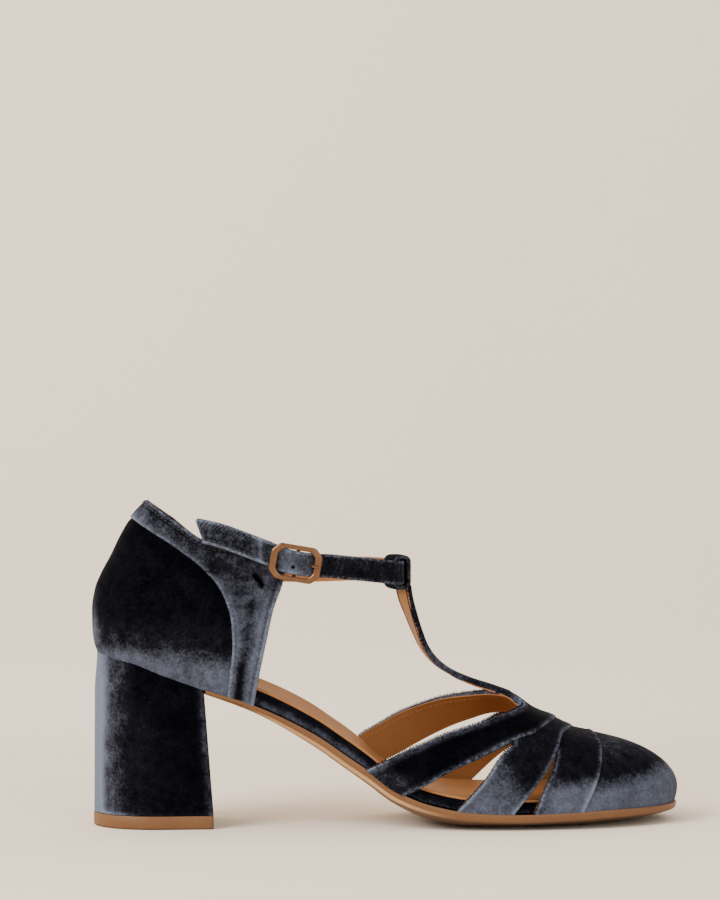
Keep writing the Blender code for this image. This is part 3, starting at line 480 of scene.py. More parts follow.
def distance_to(points, line):
    """Distance of points to a polyline."""
    flat = points.reshape(-1, 3)
    start, step = line[:-1], np.diff(line, axis=0)
    square = np.maximum((step ** 2).sum(1), 1e-9)
    best = np.empty(len(flat))
    for low in range(0, len(flat), CHUNK):
        part = flat[low:low + CHUNK, None] - start
        share = np.clip((part * step).sum(2) / square, 0.0, 1.0)
        best[low:low + CHUNK] = np.sqrt(((part - share[..., None] * step) ** 2).sum(2).min(1))
    return best.reshape(points.shape[:-1])


# Mesh helpers

Patch = namedtuple("Patch", "base inner outer values")
Seam = namedtuple("Seam", "line normal")


def grid_quads(rows, columns, first=0):
    """Corner numbers of a grid's quads."""
    index = first + np.arange(rows * columns).reshape(rows, columns)
    return np.stack((index[:-1, :-1], index[:-1, 1:], index[1:, 1:], index[1:, :-1]), -1).reshape(-1, 4)


def ring_quads(low, high):
    """Corner numbers of the quads between two closed rings."""
    return np.stack((low, np.roll(low, -1), np.roll(high, -1), high), -1)


def weld_index(points):
    """First point at each different place, and the place of every point."""
    keys = np.floor(points / WELD + WELD_OFFSET).astype(np.int64)
    first, index = np.unique(keys, axis=0, return_index=True, return_inverse=True)[1:]
    return first, index.reshape(-1)


def clean_faces(quads):
    """Faces without repeated corners."""
    faces = [[c for k, c in enumerate(quad) if c not in quad[:k]] for quad in quads.tolist()]
    return [face for face in faces if len(face) > 2]


def closed_grid(rings):
    """Ring-shaped body of rings that close on themselves; also the grid places that are kept."""
    closed = np.concatenate((rings, rings[:1]))
    closed = np.concatenate((closed, closed[:, :1]), axis=1)
    points = closed.reshape(-1, 3)
    first, place = weld_index(points)
    return points[first], clean_faces(place[grid_quads(*closed.shape[:2])]), first


def stack_rings(rings):
    """Solid of stacked closed rings with flat ends."""
    count = len(rings[0])
    starts = count * np.arange(len(rings))
    faces = []
    for low in starts[:-1, None] + np.arange(count):
        faces += ring_quads(low, low + count).tolist()
    faces.append(list(range(count))[::-1])
    faces.append(list(range(starts[-1], starts[-1] + count)))
    return np.concatenate(rings), faces


def join_bodies(bodies):
    """Several closed bodies as one set of points and faces."""
    faces = []
    count = 0
    for body in bodies:
        faces += [[corner + count for corner in face] for face in body[1]]
        count += len(body[0])
    return np.concatenate([body[0] for body in bodies]), faces


def wall(patches):
    """Closed wall over grids that share welded borders: points, faces and values per point."""
    base, inner, outer = (np.concatenate([part.reshape(-1, 3) for part in parts])
                          for parts in zip(*(patch[:3] for patch in patches)))
    first, index = weld_index(base)
    quads = []
    count = 0
    for patch in patches:
        rows, columns = patch.base.shape[:2]
        quads.append(grid_quads(rows, columns, count))
        count += rows * columns
    faces = clean_faces(index[np.concatenate(quads)])
    edges = {pair for face in faces for pair in zip(face, face[1:] + face[:1])}
    total = len(first)
    closed = [[c + total for c in face] for face in faces]
    closed += [face[::-1] for face in faces]
    closed += [[b + total, a + total, a, b] for a, b in edges if (b, a) not in edges]
    values = {}
    for key in patches[0].values:
        joined = np.concatenate([patch.values[key].reshape(-1) for patch in patches])
        values[key] = np.tile(joined[first], 2)
    return np.concatenate((inner[first], outer[first])), closed, values


def loft(levels):
    """Closed solid of stacked grids of equal size: ends are whole grids, levels between only borders."""
    rows, columns = levels[0].shape[:2]
    index = np.arange(rows * columns).reshape(rows, columns)
    ring = np.concatenate((index[0, :-1], index[:-1, -1], index[-1, :0:-1], index[:0:-1, 0]))
    grids = [level.reshape(-1, 3) for level in levels]
    parts = [grids[0]] + [grid[ring] for grid in grids[1:-1]] + [grids[-1]]
    starts = np.cumsum([0] + [len(part) for part in parts])
    rings = [ring] + [start + np.arange(len(ring)) for start in starts[1:-2]] + [starts[-2] + ring]
    quads = [grid_quads(rows, columns), grid_quads(rows, columns, starts[-2])]
    quads += [ring_quads(low, high) for low, high in zip(rings, rings[1:])]
    points = np.concatenate(parts)
    level_of = np.repeat(np.linspace(0.0, 1.0, len(levels)), np.diff(starts))
    first, place = weld_index(points)
    return points[first], clean_faces(place[np.concatenate(quads)]), level_of[first]


def add_object(name, data):
    """Object in the scene."""
    new = bpy.data.objects.new(name, data)
    bpy.context.scene.collection.objects.link(new)
    return new


def add_piece(name, finish, node, points, faces, values=()):
    """Piece that rides on the shoe, in place of a solid if one is named, with values for its material."""
    mesh = bpy.data.meshes.new(name)
    mesh.from_pydata(((points - SHIFT) * MM).tolist(), [], faces)
    work = bmesh.new()
    work.from_mesh(mesh)
    bmesh.ops.recalc_face_normals(work, faces=work.faces)
    work.to_mesh(mesh)
    work.free()
    for key, data in dict(values).items():
        mesh.attributes.new(key, "FLOAT", "POINT").data.foreach_set("value", np.asarray(data, np.float32))
    mesh.materials.append(finish.material)
    mesh.shade_smooth()
    mesh.set_sharp_from_angle(angle=SHARP_ANGLE)
    piece = add_object(name, mesh)
    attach(piece, "root")
    if node:
        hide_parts(node)


# Materials

Finish = namedtuple("Finish", "material slot")

# Tones of the pile by nap and painted sheen, 0 where it stands up and 1 where it is brushed flat; painted
# sheen also lights turns seen at a grazing angle. The nap of each piece adds up its brushed and painted
# parts: an amount of nap times soft limits in millimetres, degrees or shares of a width.
PILE = (
    (0.0, (0.0006, 0.0007, 0.0016)),
    (0.25, (0.0072, 0.0075, 0.0112)),
    (0.5, (0.035, 0.038, 0.053)),
    (0.75, (0.072, 0.083, 0.117)),
    (1.0, (0.132, 0.162, 0.224)),
)
PILE_SHEEN = (0.7, 0.78, 0.95)
PILE_MOTTLE = ((75.0, 0.35), (180.0, 0.4), (330.0, 0.4), (900.0, 0.55), (2000.0, 0.3))
PILE_SPECKS = 0.15
FOLD_LIGHT = (0.15, 0.5)
TAN_PALE = (0.60, 0.345, 0.165)
PORE_SHADE = 0.88
BURNISH_AND_SHADE_SHARE = 0.3
COPPER_TONES = ((0.148, 0.070, 0.034), (0.195, 0.096, 0.049))


def fill(tree, node, inputs):
    """Give a node's inputs numbers, colours or the outputs of other nodes."""
    for key, value in inputs.items():
        socket = node.inputs[key]
        if isinstance(value, bpy.types.NodeSocket):
            tree.links.new(value, socket)
        elif socket.type == "RGBA":
            socket.default_value = (*value, 1.0)
        else:
            socket.default_value = value


def new_node(tree, kind, output, inputs=(), **settings):
    """One output of a new shader node."""
    node = tree.nodes.new("ShaderNode" + kind)
    for key, value in settings.items():
        setattr(node, key, value)
    fill(tree, node, dict(inputs))
    return node.outputs[output]


def new_material(name):
    """Node material with its tree and shader."""
    material = bpy.data.materials.new(name)
    material.use_nodes = True
    return material, material.node_tree, material.node_tree.nodes["Principled BSDF"]


def noise(tree, scale, detail=2.0, roughness=0.5, stretch=(1, 1, 1)):
    """Noise in the object's own metres."""
    place = new_node(tree, "TexCoord", "Object")
    place = new_node(tree, "Mapping", "Vector", {"Vector": place, "Scale": stretch})
    inputs = {"Vector": place, "Scale": scale, "Detail": detail, "Roughness": roughness}
    return new_node(tree, "TexNoise", "Fac", inputs)


def attribute(tree, name):
    """Value stored on the piece's points."""
    return new_node(tree, "Attribute", "Fac", attribute_name=name)


def combine(tree, operation, first, second):
    """Sum, product and so on of sockets or numbers."""
    return new_node(tree, "Math", "Value", {0: first, 1: second}, operation=operation)


def ranged(tree, value, low, high, start=0.0, end=1.0):
    """Value between two limits turned smoothly into another range."""
    inputs = {"Value": value, "From Min": low, "From Max": high, "To Min": start, "To Max": end}
    return new_node(tree, "MapRange", "Result", inputs, interpolation_type="SMOOTHSTEP")


def mix(tree, factor, first, second):
    """Mix of two colours."""
    return new_node(tree, "Mix", "Result", {"Factor": factor, "A": first, "B": second}, data_type="RGBA")


def relief(tree, height, strength, distance):
    """Fine relief of a surface."""
    inputs = {"Height": height, "Strength": strength, "Distance": distance}
    return new_node(tree, "Bump", "Normal", inputs)


def ramp(tree, factor, stops):
    """Colour of a value by stops."""
    node = tree.nodes.new("ShaderNodeValToRGB")
    elements = node.color_ramp.elements
    elements.remove(elements[1])
    elements[0].position = stops[0][0]
    elements[0].color = (*stops[0][1], 1.0)
    for place, colour in stops[1:]:
        elements.new(place).color = (*colour, 1.0)
    fill(tree, node, {"Fac": factor})
    return node.outputs["Color"]


def mottle_of(tree, layers):
    """Sum of noises about zero, each given by its scale and amount."""
    total = 0.0
    for scale, amount in layers:
        centred = combine(tree, "SUBTRACT", noise(tree, scale), 0.5)
        total = combine(tree, "ADD", combine(tree, "MULTIPLY", centred, amount), total)
    return total


def shaded(colour, share):
    """Colour darkened to a share of itself."""
    return tuple(value * share for value in colour)


def velvet_finish():
    """Velvet: dark pile that turns to light slate where it is brushed and where sheen is painted, mottled
    where the two meet.
    """
    material, tree, shader = new_material("velvet_pile")
    nap_and_sheen = attribute(tree, "nap_and_sheen")
    fold = attribute(tree, "fold")
    rising = ranged(tree, nap_and_sheen, 0.0, 0.3, 0.3, 1.0)
    settled = ranged(tree, nap_and_sheen, 0.5, 0.85, 1.0, 0.45)
    unsettled = combine(tree, "MULTIPLY", rising, settled)
    mottle = combine(tree, "MULTIPLY", mottle_of(tree, PILE_MOTTLE), unsettled)
    specks = ranged(tree, noise(tree, 1700.0), 0.62, 0.74, 0.0, PILE_SPECKS)
    streak = ranged(tree, noise(tree, 900.0), 0.35, 0.65, *FOLD_LIGHT)
    edge = combine(tree, "ADD", combine(tree, "MULTIPLY", fold, streak), specks)
    tone = combine(tree, "ADD", combine(tree, "ADD", nap_and_sheen, mottle), edge)
    fill(tree, shader, {
        "Base Color": ramp(tree, tone, PILE),
        "Roughness": 0.9,
        "Specular IOR Level": 0.015,
        "Sheen Weight": 0.025,
        "Sheen Roughness": 0.3,
        "Sheen Tint": PILE_SHEEN,
        "Normal": relief(tree, noise(tree, 2200.0, 3.0), 0.3, 0.0004),
    })
    return Finish(material, "velvet")


def thread_finish(name, slot, dark, light):
    """Twisted sewing thread."""
    material, tree, shader = new_material(name)
    twist = noise(tree, 2500.0)
    fill(tree, shader, {
        "Base Color": mix(tree, ranged(tree, twist, 0.35, 0.65), dark, light),
        "Roughness": 0.6,
        "Normal": relief(tree, twist, 0.3, 0.0002),
    })
    return Finish(material, slot)


def leather_finish(slot, light, dark, grain, roughness):
    """Leather with cloudy colour, fine grain, pale parts and a darker edge; on the sole the pale waist bevel
    is painted bounce light and the darker underside is burnish with painted shade.
    """
    material, tree, shader = new_material(slot)
    cloud = noise(tree, 60.0, 5.0, 0.6)
    tone = mix(tree, ranged(tree, cloud, 0.3, 0.7), dark, light)
    pores = ranged(tree, noise(tree, grain, 3.0), 0.25, 0.45)
    tone = mix(tree, pores, shaded(dark, PORE_SHADE), tone)
    tone = mix(tree, attribute(tree, "pale"), tone, TAN_PALE)
    fill(tree, shader, {
        "Base Color": mix(tree, attribute(tree, "burnish_and_shade"), tone, shaded(dark, BURNISH_AND_SHADE_SHARE)),
        "Roughness": ranged(tree, cloud, 0.2, 0.8, roughness - 0.08, roughness + 0.08),
        "Specular IOR Level": 0.3,
        "Normal": relief(tree, noise(tree, grain, 4.0), 0.25, 0.0003),
    })
    return Finish(material, slot)


def copper_finish():
    """Brushed copper-coloured metal, a little darker in its pits."""
    material, tree, shader = new_material("brushed_copper")
    brush = noise(tree, 2600.0, 3.0, 0.5, (0.4, 1.0, 1.0))
    fill(tree, shader, {
        "Base Color": mix(tree, ranged(tree, brush, 0.25, 0.75), *COPPER_TONES),
        "Metallic": 0.85,
        "Roughness": ranged(tree, brush, 0.2, 0.8, 0.27, 0.36),
        "Normal": relief(tree, brush, 0.08, 0.0001),
    })
    return Finish(material, "copper")


VELVET = velvet_finish()
SOLE = leather_finish("sole_leather", (0.165, 0.073, 0.027), (0.14, 0.060, 0.021), 1400.0, 0.5)
INSIDE = leather_finish("lining_leather", (0.33, 0.138, 0.040), (0.295, 0.116, 0.032), 1600.0, 0.62)
DARK_THREAD = thread_finish("dark_thread", "velvet", (0.004, 0.004, 0.007), (0.02, 0.02, 0.028))
TAN_THREAD = thread_finish("tan_thread", "lining_leather", (0.26, 0.10, 0.03), (0.42, 0.19, 0.07))
COPPER = copper_finish()


# Sole, footbed and heel

LIFT_PROFILE = (
    (1.1, 0.0), (0.5, 0.12), (0.15, 0.4), (0.0, 0.9), (0.0, 2.5), (0.0, 5.0), (0.25, LIFT_HEIGHT),
)
SLAB_STEP = 1.5
SLAB_TIP = 0.002


def slab_rows(start, end, grow):
    """Stations over the bottom, close together where the heel and the toe round off."""
    bow = 1 - np.cos(arc(0.0, 90.0, ROUND_STEPS))
    heel = LAST_HEEL - grow + (HEEL_ROUND + grow) * bow
    toe = LAST_TOE + grow - TOE_ROUND * bow
    rows = np.concatenate((heel, np.arange(heel[-1], toe[-1], SLAB_STEP), toe, (start, end)))
    rows = np.unique(np.round(rows, 4))
    return rows[(rows >= start) & (rows <= end)]


def slab(grow, columns, levels, start=0.0):
    """Loft over the bottom's outline: levels of an inset, a share of the sole's bevel and a height rule."""
    rows = slab_rows(max(start, LAST_HEEL - grow), LAST_TOE + grow, grow)[:, None]
    fractions = np.sin(arc(-90.0, 90.0, columns))[None]
    stack = []
    for inset, bevel, height in levels:
        pull = inset + bevel * curve(BOTTOM, "bevel", rows)
        at = np.clip(rows, LAST_HEEL - grow + pull, LAST_TOE + grow - pull)
        fraction = np.where(fullness(at, grow - pull) < SLAB_TIP, 1.0, fractions)
        side = outline(at, np.broadcast_to(fractions, fraction.shape), grow - pull)
        stack.append(np.stack((np.broadcast_to(at, side.shape), side, height(at, fraction)), -1))
    return loft(stack)


def build_outsole():
    """Leather sole with a rounded, burnished edge and a bevelled waist."""
    def side(share):
        return lambda station, fraction: rim(station, fraction) - share * curve(BOTTOM, "edge", station)

    def underside(station, fraction):
        low = curve(BOTTOM, "middle", station)
        high = curve(BOTTOM, "rim", station) - curve(BOTTOM, "edge", station)
        high = high + curve(BOTTOM, "arch", station) * np.maximum(0.0, fraction)
        return low + (high - low) * np.maximum(0.0, np.abs(fraction) * 2 - 1) ** SOLE_TURN

    points, faces, level = slab(SOLE_OVERHANG, SOLE_COLUMNS, (
        (0.35, 1.0, underside),
        (0.0, 0.8, side(0.92)),
        (0.0, 0.4, side(0.72)),
        (0.0, 0.1, side(0.52)),
        (0.0, 0.0, side(0.34)),
        (0.0, 0.0, side(0.12)),
        (0.3, 0.0, rim),
    ), HEEL_BREAST + 2 * GAP)
    waist = soft(58.0, 75.0, points[:, 0]) * fade(116.0, 146.0, points[:, 0])
    values = {
        # Darker underside and lowest edge: burnish, and painted shade where the sole meets the floor
        "burnish_and_shade": 0.6 * fade(0.0, 0.2, level) * (1 - waist),
        # Paler bevel along the waist: painted light bounced up from the floor
        "pale": 0.95 * waist * fade(0.34, 0.5, level) * (level > 0.05),
    }
    add_piece("outsole_leather", SOLE, "outsole", points, faces, values)


def build_footbed():
    """Velvet-covered footbed edge and the leather sock on it."""
    def above(value):
        return lambda station, fraction: rim(station, fraction) + GAP + value

    def below(value):
        return lambda station, fraction: board_top(station, fraction) - value

    points, faces, level = slab(-BOARD_INSET, BOARD_COLUMNS, (
        (0.5, 0.0, above(0.0)),
        (0.15, 0.0, above(0.4)),
        (0.0, 0.0, above(1.2)),
        (0.0, 0.0, below(1.9)),
        (0.15, 0.0, below(1.1)),
        (0.55, 0.0, below(0.45)),
        (1.3, 0.0, below(0.0)),
    ))
    waist = soft(55.0, 75.0, points[:, 0]) * fade(105.0, 125.0, points[:, 0])
    values = {"nap_and_sheen": np.where(level < 0.45, 0.24 + 0.26 * waist, 0.10), "fold": 0.3 * (level < 0.25)}
    add_piece("footbed_velvet", VELVET, "insole_board", points, faces, values)
    points, faces, level = slab(-SOCK_INSET, BOARD_COLUMNS, (
        (0.0, 0.0, below(-GAP)),
        (0.0, 0.0, below(-GAP - 0.7)),
        (0.15, 0.0, below(-GAP - 1.0)),
        (0.6, 0.0, below(-GAP - SOCK_THICKNESS)),
    ))
    values = {"burnish_and_shade": np.where(level < 0.9, 0.2, 0.0), "pale": np.full(len(points), 0.06)}
    add_piece("sock_leather", INSIDE, "sock_lining", points, faces, values)


def heel_ring(drop, grow):
    """Outline of the heel at one level: rounded back, straight sides, rounded breast corners."""
    front = HEEL_BREAST + (HEEL_BREAST_FOOT - HEEL_BREAST) * drop
    back = LAST_HEEL - grow - HEEL_LEAN * drop - HEEL_SWELL * ease(drop / HEEL_SWELL_RUN)
    reach = HEEL_ROUND + grow
    width = HEEL_HALF_WIDTH + grow - HEEL_TAPER * drop
    corner = front - HEEL_CORNER
    half = [(back + reach * (1 - math.cos(t)), width * math.sin(t)) for t in arc(0.0, 90.0, 49)]
    half += [(station, width) for station in np.linspace(back + reach, corner, 17)[1:]]
    for t in arc(15.0, 90.0, 6):
        half.append((corner + HEEL_CORNER * math.sin(t), width - HEEL_CORNER * (1 - math.cos(t))))
    half += [(front, y) for y in np.linspace(width - HEEL_CORNER, 0.0, 13)[1:]]
    half = np.array(half)
    return np.concatenate((half, half[-2:0:-1] * (1, -1)))


def build_heel():
    """Velvet-covered block heel and its leather lift."""
    rings = []
    for drop in np.linspace(1.0, 0.0, HEEL_LEVELS):
        ring = heel_ring(drop, HEEL_COVER)
        seat = np.clip(ring[:, 0], LAST_HEEL - HEEL_COVER, LAST_TOE)
        top = rim(seat, np.sign(ring[:, 1]) + (ring[:, 1] == 0)) - GAP
        rings.append(np.column_stack((ring, between(top, LIFT_HEIGHT + GAP, drop))))
    points, faces = stack_rings(rings)
    station, height = points[:, 0], points[:, 2]
    reach = station / (1 + 0.3 * soft(25.0, 60.0, height))
    # Painted sheen: the pile is lit where the heel's back curves away at a grazing angle, widest near the
    # bottom
    nap_and_sheen = 0.03 + 0.62 * fade(2.0, 6.0, reach) + 0.34 * fade(4.5, 14.0, reach)
    nap_and_sheen += 0.3 * fade(5.5, 8.0, height) * fade(12.0, 20.0, station)
    nap_and_sheen += 0.11 * fade(12.0, 36.0, station) * fade(38.0, 56.0, height)
    # Painted sheen along the rounded breast corners
    breast = HEEL_BREAST + (HEEL_BREAST_FOOT - HEEL_BREAST) * (60.0 - height) / 55.0
    nap_and_sheen += 0.36 * soft(breast - 4.5, breast - 0.9, station) * soft(17.5, 21.5, np.abs(points[:, 1]))
    add_piece("heel_velvet", VELVET, "heel", points, faces, {"nap_and_sheen": nap_and_sheen, "fold": 0.4 * (height < 6.6)})
    rings = []
    for inset, height in LIFT_PROFILE:
        ring = heel_ring(1.0, HEEL_COVER + LIFT_OVERHANG - inset)
        rings.append(np.column_stack((ring, np.full(len(ring), height))))
    points, faces = stack_rings(rings)
    # Darker towards the bottom of the lift
    burnish_and_shade = {"burnish_and_shade": 0.5 * fade(0.1, 1.0, points[:, 2])}
    add_piece("lift_leather", SOLE, "heel_top_lift", points, faces, burnish_and_shade)


# Walls of velvet and lining

def spread(lines, inside):
    """Shares along each line: close to both ends by the edge steps, evenly between."""
    run = run_along(lines)
    total = run[:, -1:]
    slants = (
        slant_of(lines[:, 0], lines[:, 1] - lines[:, 0]),
        slant_of(lines[:, -1], lines[:, -1] - lines[:, -2]),
    )
    ends = []
    for slant in slants:
        near = EDGE_STEPS[None] / slant[:, None]
        ends.append(near * np.minimum(1.0, EDGE_SHARE * total / near[:, -1:]))
    even = np.linspace(0.0, 1.0, inside + 2)[None, 1:-1]
    middle = between(ends[0][:, -1:], total - ends[1][:, -1:], even)
    places = np.concatenate((ends[0], middle, total - ends[1][:, ::-1]), axis=1)
    return np.array([np.interp(place, along, FINE) for place, along in zip(places, run)])


def slant_of(edge, across):
    """Sine of the angle between an edge and the lines across it, smoothed along the edge."""
    along = unit(np.gradient(edge, axis=0))
    sine = np.linalg.norm(np.cross(along, unit(across)), axis=1)
    window = 2 * SLANT_SMOOTH + 1
    padded = np.pad(sine, SLANT_SMOOTH, mode="edge")
    return np.clip(np.convolve(padded, np.ones(window) / window, mode="valid"), SLANT_LEAST, 1.0)


def grid_normals(base):
    """Directions square to a grid."""
    return unit(np.cross(np.gradient(base, axis=0), np.gradient(base, axis=1)))


def round_over(height, distance, radius):
    """Height of a face that is rounded off towards its edge."""
    inside = radius - np.minimum(distance, radius)
    return height - radius + np.sqrt(np.maximum(radius ** 2 - inside ** 2, 0.0))


def edge_profile(distance, height, radius=EDGE_RADIUS):
    """Height over the inner face of a folded edge: quarter round, soft roll and stitched groove."""
    rounded = round_over(height, distance, radius)
    for amount, centre, width in (ROLL, GROOVE):
        rounded = rounded + amount * bell(distance, centre, width)
    return rounded


def close_to(distance):
    """1 on an edge, falling to 0 inside it."""
    return fade(0.2, FOLD_REACH, distance)


def velvet_patch(base, normals, height, nap_and_sheen, fold, inner=LINING):
    """Velvet layer from the lining, or its own inner offset, to a height over the inner face."""
    inner = np.broadcast_to(inner, height.shape)[..., None]
    values = {"nap_and_sheen": nap_and_sheen, "fold": fold}
    return Patch(base, base + normals * inner, base + normals * height[..., None], values)


def thin(count, step):
    """Every so many rows of a grid, with its last one."""
    rows = np.arange(0, count, step)
    return rows if rows[-1] == count - 1 else np.append(rows, count - 1)


def lining_patch(base, normals, row_step, column_step):
    """Coarser lining on the inner face of a wall."""
    kept = np.ix_(thin(base.shape[0], row_step), thin(base.shape[1], column_step))
    return Patch(base[kept], base[kept], base[kept] + normals[kept] * LINING, {})


def add_lining(name, node, patches):
    """Leather lining of separate closed sheets."""
    add_piece(name, INSIDE, node, *join_bodies([wall([patch]) for patch in patches]))


def on_sole(patch, rows=(0, 0), columns=(0, 0)):
    """Patch with border rows or columns repeated and let down onto the sole."""
    pads = (rows, columns)
    drop = np.pad(np.zeros(patch.base.shape[:2]), pads, constant_values=GAP)[..., None] * (0.0, 0.0, 1.0)
    grids = [np.pad(grid, (*pads, (0, 0)), mode="edge") - drop for grid in patch[:3]]
    return Patch(*grids, {key: np.pad(data, pads, mode="edge") for key, data in patch.values.items()})


def side_edge(patch, normals, column, rows=slice(None)):
    """First or last column of a wall: its outer line, the direction off the wall and the normals."""
    out = np.gradient(patch.base, axis=1)[rows, column]
    return patch.outer[rows, column], out if column else -out, normals[rows, column]


# Upper over the forefoot

def band_base(turns, rear, front, inside):
    """Inner face of a band between its rear and front stations, and each point's share between them."""
    side, angle, rear, front = (part[:, None] for part in (*flank(turns), rear, front))
    share = spread(vamp_point(between(rear, front, FINE[None]), angle, side), inside)
    return vamp_point(between(rear, front, share), angle, side), share


def band_normals(base):
    """Outward directions of a band, level along the sole."""
    normals = grid_normals(base)
    if normals[len(base) // 2, base.shape[1] // 2, 2] < 0:
        normals = -normals
    normals[[0, -1], :, 2] = 0.0
    return unit(normals)


def proud_edge(base, free):
    """Inner face whose first column stands a little out of the velvet where the edge is free."""
    proud = base.copy()
    proud[:, 0] -= unit(base[:, 1] - base[:, 0]) * (LINING_PROUD * free)[:, None]
    return proud


def band_1_nap(angle, share):
    """Nap of the first band: standing pile, brushed at the sole and on the ridge."""
    return 0.01 + 0.26 * fade(3.0, 13.0, angle) * fade(0.6, 1.0, share) + 0.24 * soft(66.0, 86.0, angle)


def band_2_nap(angle, share):
    """Nap of the second band: brushed light at its foot, higher along the rear edge."""
    border = 25.0 - 17.0 * share
    return 0.14 + 0.48 * fade(border - 10.0, border + 8.0, angle) + 0.12 * soft(60.0, 80.0, angle)


def band_3_nap(angle, share):
    """Nap of the third band: brushed light at its foot, less along the rear edge."""
    border = 17.0 + 6.0 * share
    amount = 0.58 - 0.22 * fade(0.0, 0.3, share)
    return 0.12 + amount * fade(border - 8.0, border + 6.0, angle) + 0.10 * soft(55.0, 80.0, angle)


def build_band(number, wall_height, nap_rule, lining):
    """Second or third band: free edges beside the cut-outs, tucked under the band behind above them."""
    back = "back_%d" % number
    rear, front = edge_station(back, TURNS), edge_station("front_%d" % number, TURNS)
    base, share = band_base(TURNS, rear, front, BAND_COLUMNS)
    normals = band_normals(base)
    side, angle = flank(TURNS)
    below = angle < pick(side, OPENINGS[back].lateral, OPENINGS[back].medial)
    flanks = (below & (TURNS < 0), below & (TURNS > 0))
    front_distance = distance_to(base, base[:, -1])
    rear_distance = np.minimum(*(distance_to(base, base[rows, 0]) for rows in flanks))
    height = edge_profile(np.minimum(front_distance, rear_distance), wall_height)
    fold = np.maximum(0.7 * close_to(front_distance), 0.5 * close_to(rear_distance))
    nap_and_sheen = nap_rule(angle[:, None], share)
    nap_and_sheen += 0.22 * fade(0.8, 2.4, front_distance) + 0.14 * fade(0.8, 2.4, rear_distance)
    patch = velvet_patch(base, normals, height, nap_and_sheen, fold)
    add_piece("band_%d_velvet" % number, VELVET, "vamp", *wall([on_sole(patch, (1, 1))]))
    lining.append(lining_patch(proud_edge(base, below), normals, 2, 3))
    return [side_edge(patch, normals, 0, rows) for rows in flanks], [side_edge(patch, normals, -1)]


def smooth_rows(rows, steps):
    """Curve through rows of points, by chord length along their middle."""
    run = run_along(rows[:, rows.shape[1] // 2])
    tangent = np.gradient(rows, run, axis=0)
    spans = zip(run, run[1:], steps)
    at = [np.linspace(start, end, count, endpoint=False) for start, end, count in spans]
    at = np.concatenate(at + [run[-1:]])
    k = np.clip(np.searchsorted(run, at, side="right") - 1, 0, len(run) - 2)
    span = run[k + 1] - run[k]
    return hermite(rows, tangent, k, ((at - run[k]) / span)[:, None, None], span[:, None, None])


def stem_rows(ahead, first, shares):
    """T-strap's rear face, smooth from inside the band over its rear edge up to the loop."""
    rows = [ahead, first]
    side = np.array((0.0, 1.0, 0.0))
    for k, row in enumerate(T_STRAP):
        after = T_STRAP[min(k + 1, len(T_STRAP) - 1)]
        before = T_STRAP[max(k - 1, 0)]
        along = unit(np.array((after.station - before.station, 0.0, after.height - before.height)))
        turn = math.radians(row.twist)
        across = side * math.cos(turn) + np.cross(along, side) * math.sin(turn)
        rows.append((row.station, row.shift, row.height) + across * row.half_width * shares[:, None])
    rows = np.array(rows)
    lengths = step_lengths(rows[:, rows.shape[1] // 2])
    steps = np.maximum(np.round(lengths / STEM_STEP).astype(int), 1)
    return smooth_rows(rows, steps)[steps[0]:]


def stem_grid(turns, rear, base, normals):
    """T-strap's inner face from the first band's rear edge up to the loop, its directions and its run."""
    on_stem = np.abs(turns) <= STEM_TURN + 1e-6
    side, angle = flank(turns[on_stem])
    ahead = vamp_point(rear[on_stem] + STEM_AHEAD, angle, side)
    stem = stem_rows(ahead, base[on_stem, 0], turns[on_stem] / STEM_TURN)
    directions = grid_normals(stem)
    start = normals[on_stem, 0]
    if (directions[0] * start).sum() < 0:
        directions = -directions
    run = np.cumsum(np.linalg.norm(np.gradient(stem[:, stem.shape[1] // 2], axis=0), axis=1))
    run = (run - run[0])[:, None]
    return stem, unit(between(start[None], directions, ease(run / STEM_BLEND)[..., None])), run


def edged_patch(grid, normals, wall_height, nap_and_sheen, rear_edges, front_edge, wrap):
    """Velvet brushed along its edges, which wrap round the lining by a share from 0 to 1."""
    rear_distance = np.minimum(*(distance_to(grid, edge) for edge in rear_edges))
    front_distance = distance_to(grid, front_edge)
    height = edge_profile(np.minimum(rear_distance, front_distance), wall_height)
    fold = np.maximum(0.75 * close_to(rear_distance), 0.95 * close_to(front_distance))
    brushed = 0.32 * fade(1.6, 3.6, rear_distance) + 0.26 * fade(1.0, 2.8, front_distance)
    inner = LINING - (LINING + VELVET_TURN) * (fade(1.2, 1.7, rear_distance) * wrap)
    return velvet_patch(grid, normals, height, nap_and_sheen + brushed * (1 - wrap), fold * (1 - 0.6 * wrap), inner)


